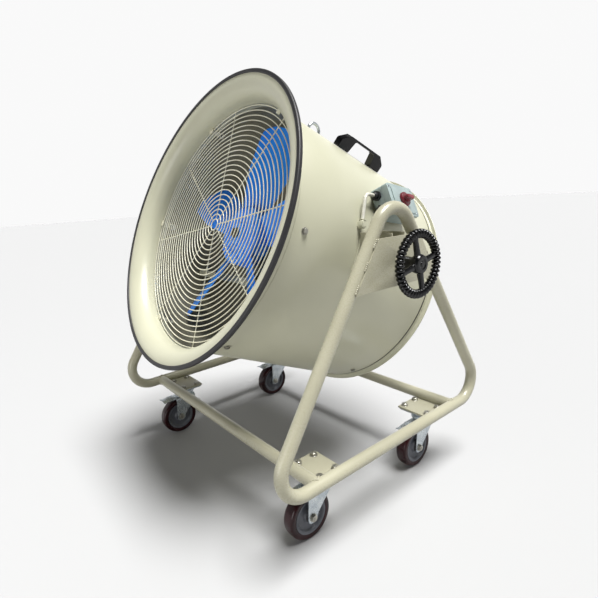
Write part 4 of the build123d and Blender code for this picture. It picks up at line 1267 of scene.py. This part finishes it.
# %% Housing
box_turn, box_cant = radians(63.5), radians(16)
box_length, box_width = 0.126, 0.084
box_station = -0.002 - box_length / 2
base_radius = drum_radius + 0.006
base_height, lid_height, joint_gap, panel_step, screw_inset = 0.030, 0.022, 0.0004, 0.0022, 0.0085
lid_top = base_height + lid_height
box_place = round_drum(box_turn, box_station, base_radius, box_cant)
dress(0.0008, drum_look, "isolator_mount")
outline = eased(rectangle(box_length, box_width), 0.008, 6)
base = cut("isolator_base_shell", outline, 0, base_height - joint_gap, box_place, bevel=0.0016)
put(base, "drum", "box_plastic", box_grey, "isolator_base")
lid = cut("isolator_lid_shell", outline, base_height + joint_gap, lid_top - panel_step, box_place, bevel=0.0024)
panel = cut("lid_panel", eased(rectangle(box_length - 0.030, box_width - 0.014), 0.006, 5), lid_top - 0.003, lid_top,
            box_place, bevel=0.0008)
put(merged("isolator_lid_body", lid, panel), "drum", "box_plastic", box_grey, "isolator_lid")
screw_x, screw_y = box_length / 2 - screw_inset, box_width / 2 - screw_inset
screws = [facing(box_place, (i * screw_x, j * screw_y, lid_top - panel_step)) for i, j in four_ways]
fastened("lid_screws", screws, fastener("screw_seed", 0.0048, 0.0012, 0.0080, 0.0008), "drum", "box_plastic", zinc)

# %% Grip
grip_place = round_drum(box_turn, box_station, base_radius + lid_top + 0.0003, box_cant)
disc = solid_turned("grip_disc", [(0.0196, 0), (0.0196, 0.0050), (0.0182, 0.0085)], 0.0012, grip_place, 60)
arrow = [(-0.0178, -0.0052), (0.0150, -0.0052), (0.0178, 0.0), (0.0150, 0.0052), (-0.0178, 0.0052)]
bar = cut("grip_bar", eased(arrow, 0.003), 0.0070, 0.0215, grip_place, bevel=0.0016)
put(merged("isolator_grip", disc, bar), "isolator_knob", "knob_plastic", knob_red, "isolator_knob")
print("isolator:", box_length, "by", box_width)

# %% [markdown]
# A gland is a hexagon base screwed into the box and a domed nut that grips the cable. The nut has
# ridges for the fingers, set round by the same tree as the motor's fins.

# %% Cable glands
box_middle = round_drum(box_turn, box_station, base_radius + base_height / 2, box_cant)
gland_place = box_middle @ endways((box_length / 2, 0, 0))
gland_side, gland_reach = 0.020, 0.0120 / cos(pi / 6)
hexagon = eased([(gland_reach * cos(t), gland_reach * sin(t)) for t in turns(6)], 0.0012)
gland_nut = [(0.0084, 0.0068), (0.0084, 0.0135), (0.0068, 0.0178), (0.0048, 0.0179)]
gland_parts = []
for side in (-gland_side, gland_side):
    spot = gland_place @ at((side, 0, 0))
    gland_parts += [
        cut("gland_base", hexagon, 0.0002, 0.0068, spot),
        solid_turned("gland_nut", gland_nut, 0.0010, spot, 36),
        grown("gland_ridges", point_seed(), fin_ring, spot @ at((0, 0, 0.0102)), fin_count=14, barrel_radius=0.0082,
              fin_height=0.0010, fin_thickness=0.0014, fin_length=0.0060, finish=gland_black)]
put(merged("cable_gland_bodies", *gland_parts), "drum", "gland_plastic", gland_black, "cable_glands")

# %% [markdown]
# ## Lead to the motor
# A grey lead leaves the upper gland, bends down round the drum and ends in an angled fitting on
# its wall. Inside, a conduit runs on to the terminal box on the motor's barrel. The lead's curve
# takes its few control points from the route: the gland, the corner of the bend and the fitting.

# %% The lead
lead_radius, straight_run = 0.0045, 0.034
lead_turn, lead_station = radians(78), 0.050
lead_start = gland_place @ Vector((-gland_side, 0, 0.0172))
lead_corner = gland_place @ Vector((-gland_side, 0, 0.018 + straight_run))
elbow_place = round_drum(lead_turn, lead_station, drum_radius + 0.0001)
lead_end = elbow_place @ Vector((0, -0.0112, 0.009))
path = bpy.data.curves.new("motor_lead", "CURVE")
path.dimensions, path.bevel_depth, path.bevel_resolution, path.resolution_u = "3D", lead_radius, 6, 24
path.use_fill_caps = True
line = path.splines.new("NURBS")
stops = [lead_start, lead_start + (lead_corner - lead_start) * 0.15, lead_corner,
         lead_corner.lerp(lead_end, 0.55), lead_end]
line.points.add(len(stops) - 1)
for point, stop in zip(line.points, stops):
    point.co = (*stop, 1)
line.order_u = 3
line.use_endpoint_u = True
lead_curve = bpy.data.objects.new("motor_lead", path)
bpy.context.scene.collection.objects.link(lead_curve)
put(settled(lead_curve), "drum", "lead_sheath", lead_grey, "motor_cable")

# %% Its fittings
block = cut("elbow_block", eased(rectangle(0.0150, 0.0215), 0.006), 0.0001, 0.0160, elbow_place, bevel=0.0050)
nut_place = elbow_place @ at((0, -0.0107, 0.009)) @ Matrix.Rotation(pi / 2, 4, "X")
collar = turned("elbow_nut", eased([(0.0046, -0.0010), (0.0082, -0.0010), (0.0082, 0.0010), (0.0070, 0.0016),
                                    (0.0046, 0.0016)], 0.0004), nut_place, 32)
put(merged("cable_elbow_body", block, collar), "drum", "gland_plastic", cream_drum, "cable_elbow")

conduit_radius, groove_radius, groove_count = 0.0078, 0.0072, 40
terminal_reach = motor_radius + 0.034
tube_length = bore_radius - 0.0008 - terminal_reach
grooves = []
for k in range(groove_count):
    height = 0.004 + k * (tube_length - 0.008) / (groove_count - 1)
    grooves += [(conduit_radius, height - 0.0012), (groove_radius, height), (conduit_radius, height + 0.0012)]
conduit_side = [(0, 0.0002), (conduit_radius, 0.0002), *grooves, (conduit_radius, tube_length), (0, tube_length)]
conduit_place = round_drum(lead_turn, lead_station, terminal_reach)
put(turned("conduit_tube", conduit_side, conduit_place, 28, closed=False), "drum", "zinc_steel", zinc, "cable_conduit")
terminal_place = round_drum(lead_turn, motor_front - 0.020 - 0.037, motor_radius)
shell = cut("terminal_shell", eased(rectangle(0.073, 0.063), 0.007), -0.003, 0.0250, terminal_place, bevel=0.0012)
cover = cut("terminal_cover", eased(rectangle(0.074, 0.064), 0.0075), 0.0254, 0.0338, terminal_place, bevel=0.0022)
put(merged("motor_terminal_body", shell, cover), "drum", "motor_paint", motor_grey, "motor_terminal_box")
print("lead ends", tuple(round(v, 4) for v in lead_start), tuple(round(v, 4) for v in lead_end))

# %% [markdown]
# ## Stage, light and camera
# A plain pale floor, one wide soft light overhead and a weak one in front. The surround is a
# studio: white paper behind the fan, a dimmer room in front of it and a dark ceiling. The camera
# stands where the photograph was taken from: its place and turn were solved from the casters, the
# drum's rims and the pivot.

# %% Floor
reach = 30
floor_mesh = bpy.data.meshes.new("floor")
floor_mesh.from_pydata([(x, y, 0) for x, y in rectangle(2 * reach, 2 * reach)], [], [(0, 1, 2, 3)])
floor = bpy.data.objects.new("floor", floor_mesh)
bpy.context.scene.collection.objects.link(floor)
pale = bpy.data.materials.new("pale_floor")
pale.use_nodes = True
pale_shader = pale.node_tree.nodes["Principled BSDF"].inputs
pale_shader["Base Color"].default_value = (0.38, 0.38, 0.38, 1)
pale_shader["Roughness"].default_value = 0.9
floor.data.materials.append(pale)
print("floor:", 2 * reach, "wide")


# %% Lights
def soft_light(name, kind, place, target, power, **settings):
    """Lamp of the given kind that looks from place at target."""
    data = bpy.data.lights.new(name, kind)
    data.energy = power
    for setting, value in settings.items():
        setattr(data, setting, value)
    lamp = bpy.data.objects.new(name, data)
    away = Vector(place) - Vector(target)
    lamp.matrix_world = at(place) @ away.to_track_quat("Z", "Y").to_matrix().to_4x4()
    bpy.context.scene.collection.objects.link(lamp)


soft_light("overhead", "SUN", (0.9, 0.5, 4.0), (0.0, 0.0, 0.6), 7.0, angle=radians(30))
soft_light("front", "AREA", (0.5, -3.4, 0.7), (0.0, 0.0, 0.7), 36, size=1.6)
print("lamps:", ", ".join(lamp.name for lamp in bpy.data.lights))

# %% Surround
world = bpy.data.worlds.new("surround")
world.use_nodes = True
around = Plan(world.node_tree)
background = world.node_tree.nodes["Background"].inputs
direction = around("ShaderNodeTexCoord", take="Generated")
x, y, z = (around("ShaderNodeSeparateXYZ", {0: direction}, take=name) for name in "XYZ")
behind = around.less(around.times(y, 0.63), around.times(x, 0.78))
paper = around("ShaderNodeMapRange", Value=behind, From_Min=-0.6, From_Max=0.7, To_Min=0.18, To_Max=0.95)
glow = around("ShaderNodeMapRange", Value=z, From_Min=0.40, From_Max=0.62, To_Min=paper, To_Max=0.05)
around.join(glow, background["Strength"])
background["Color"].default_value = (1, 1, 1, 1)
bpy.context.scene.world = world
bpy.context.scene.view_settings.view_transform = "Standard"

# %% Camera
azimuth, elevation, roll = radians(50.9), radians(13.2), radians(-3.4)
film_width, focal_pixels, picture_pixels = 36.0, 442.4, 598
back = Vector((sin(azimuth) * cos(elevation), -cos(azimuth) * cos(elevation), sin(elevation)))
right = Vector((cos(azimuth), sin(azimuth), 0))
up = back.cross(right)
camera_data = bpy.data.cameras.new("camera")
camera_data.sensor_width = film_width
camera_data.lens = film_width * focal_pixels / picture_pixels
camera = bpy.data.objects.new("camera", camera_data)
camera.matrix_world = place_by(right * cos(roll) + up * sin(roll), up * cos(roll) - right * sin(roll), back,
                               (1.1022, -0.8395, 0.8257))
bpy.context.scene.collection.objects.link(camera)
bpy.context.scene.camera = camera
print("camera:", round(camera_data.lens, 2), "mm lens")
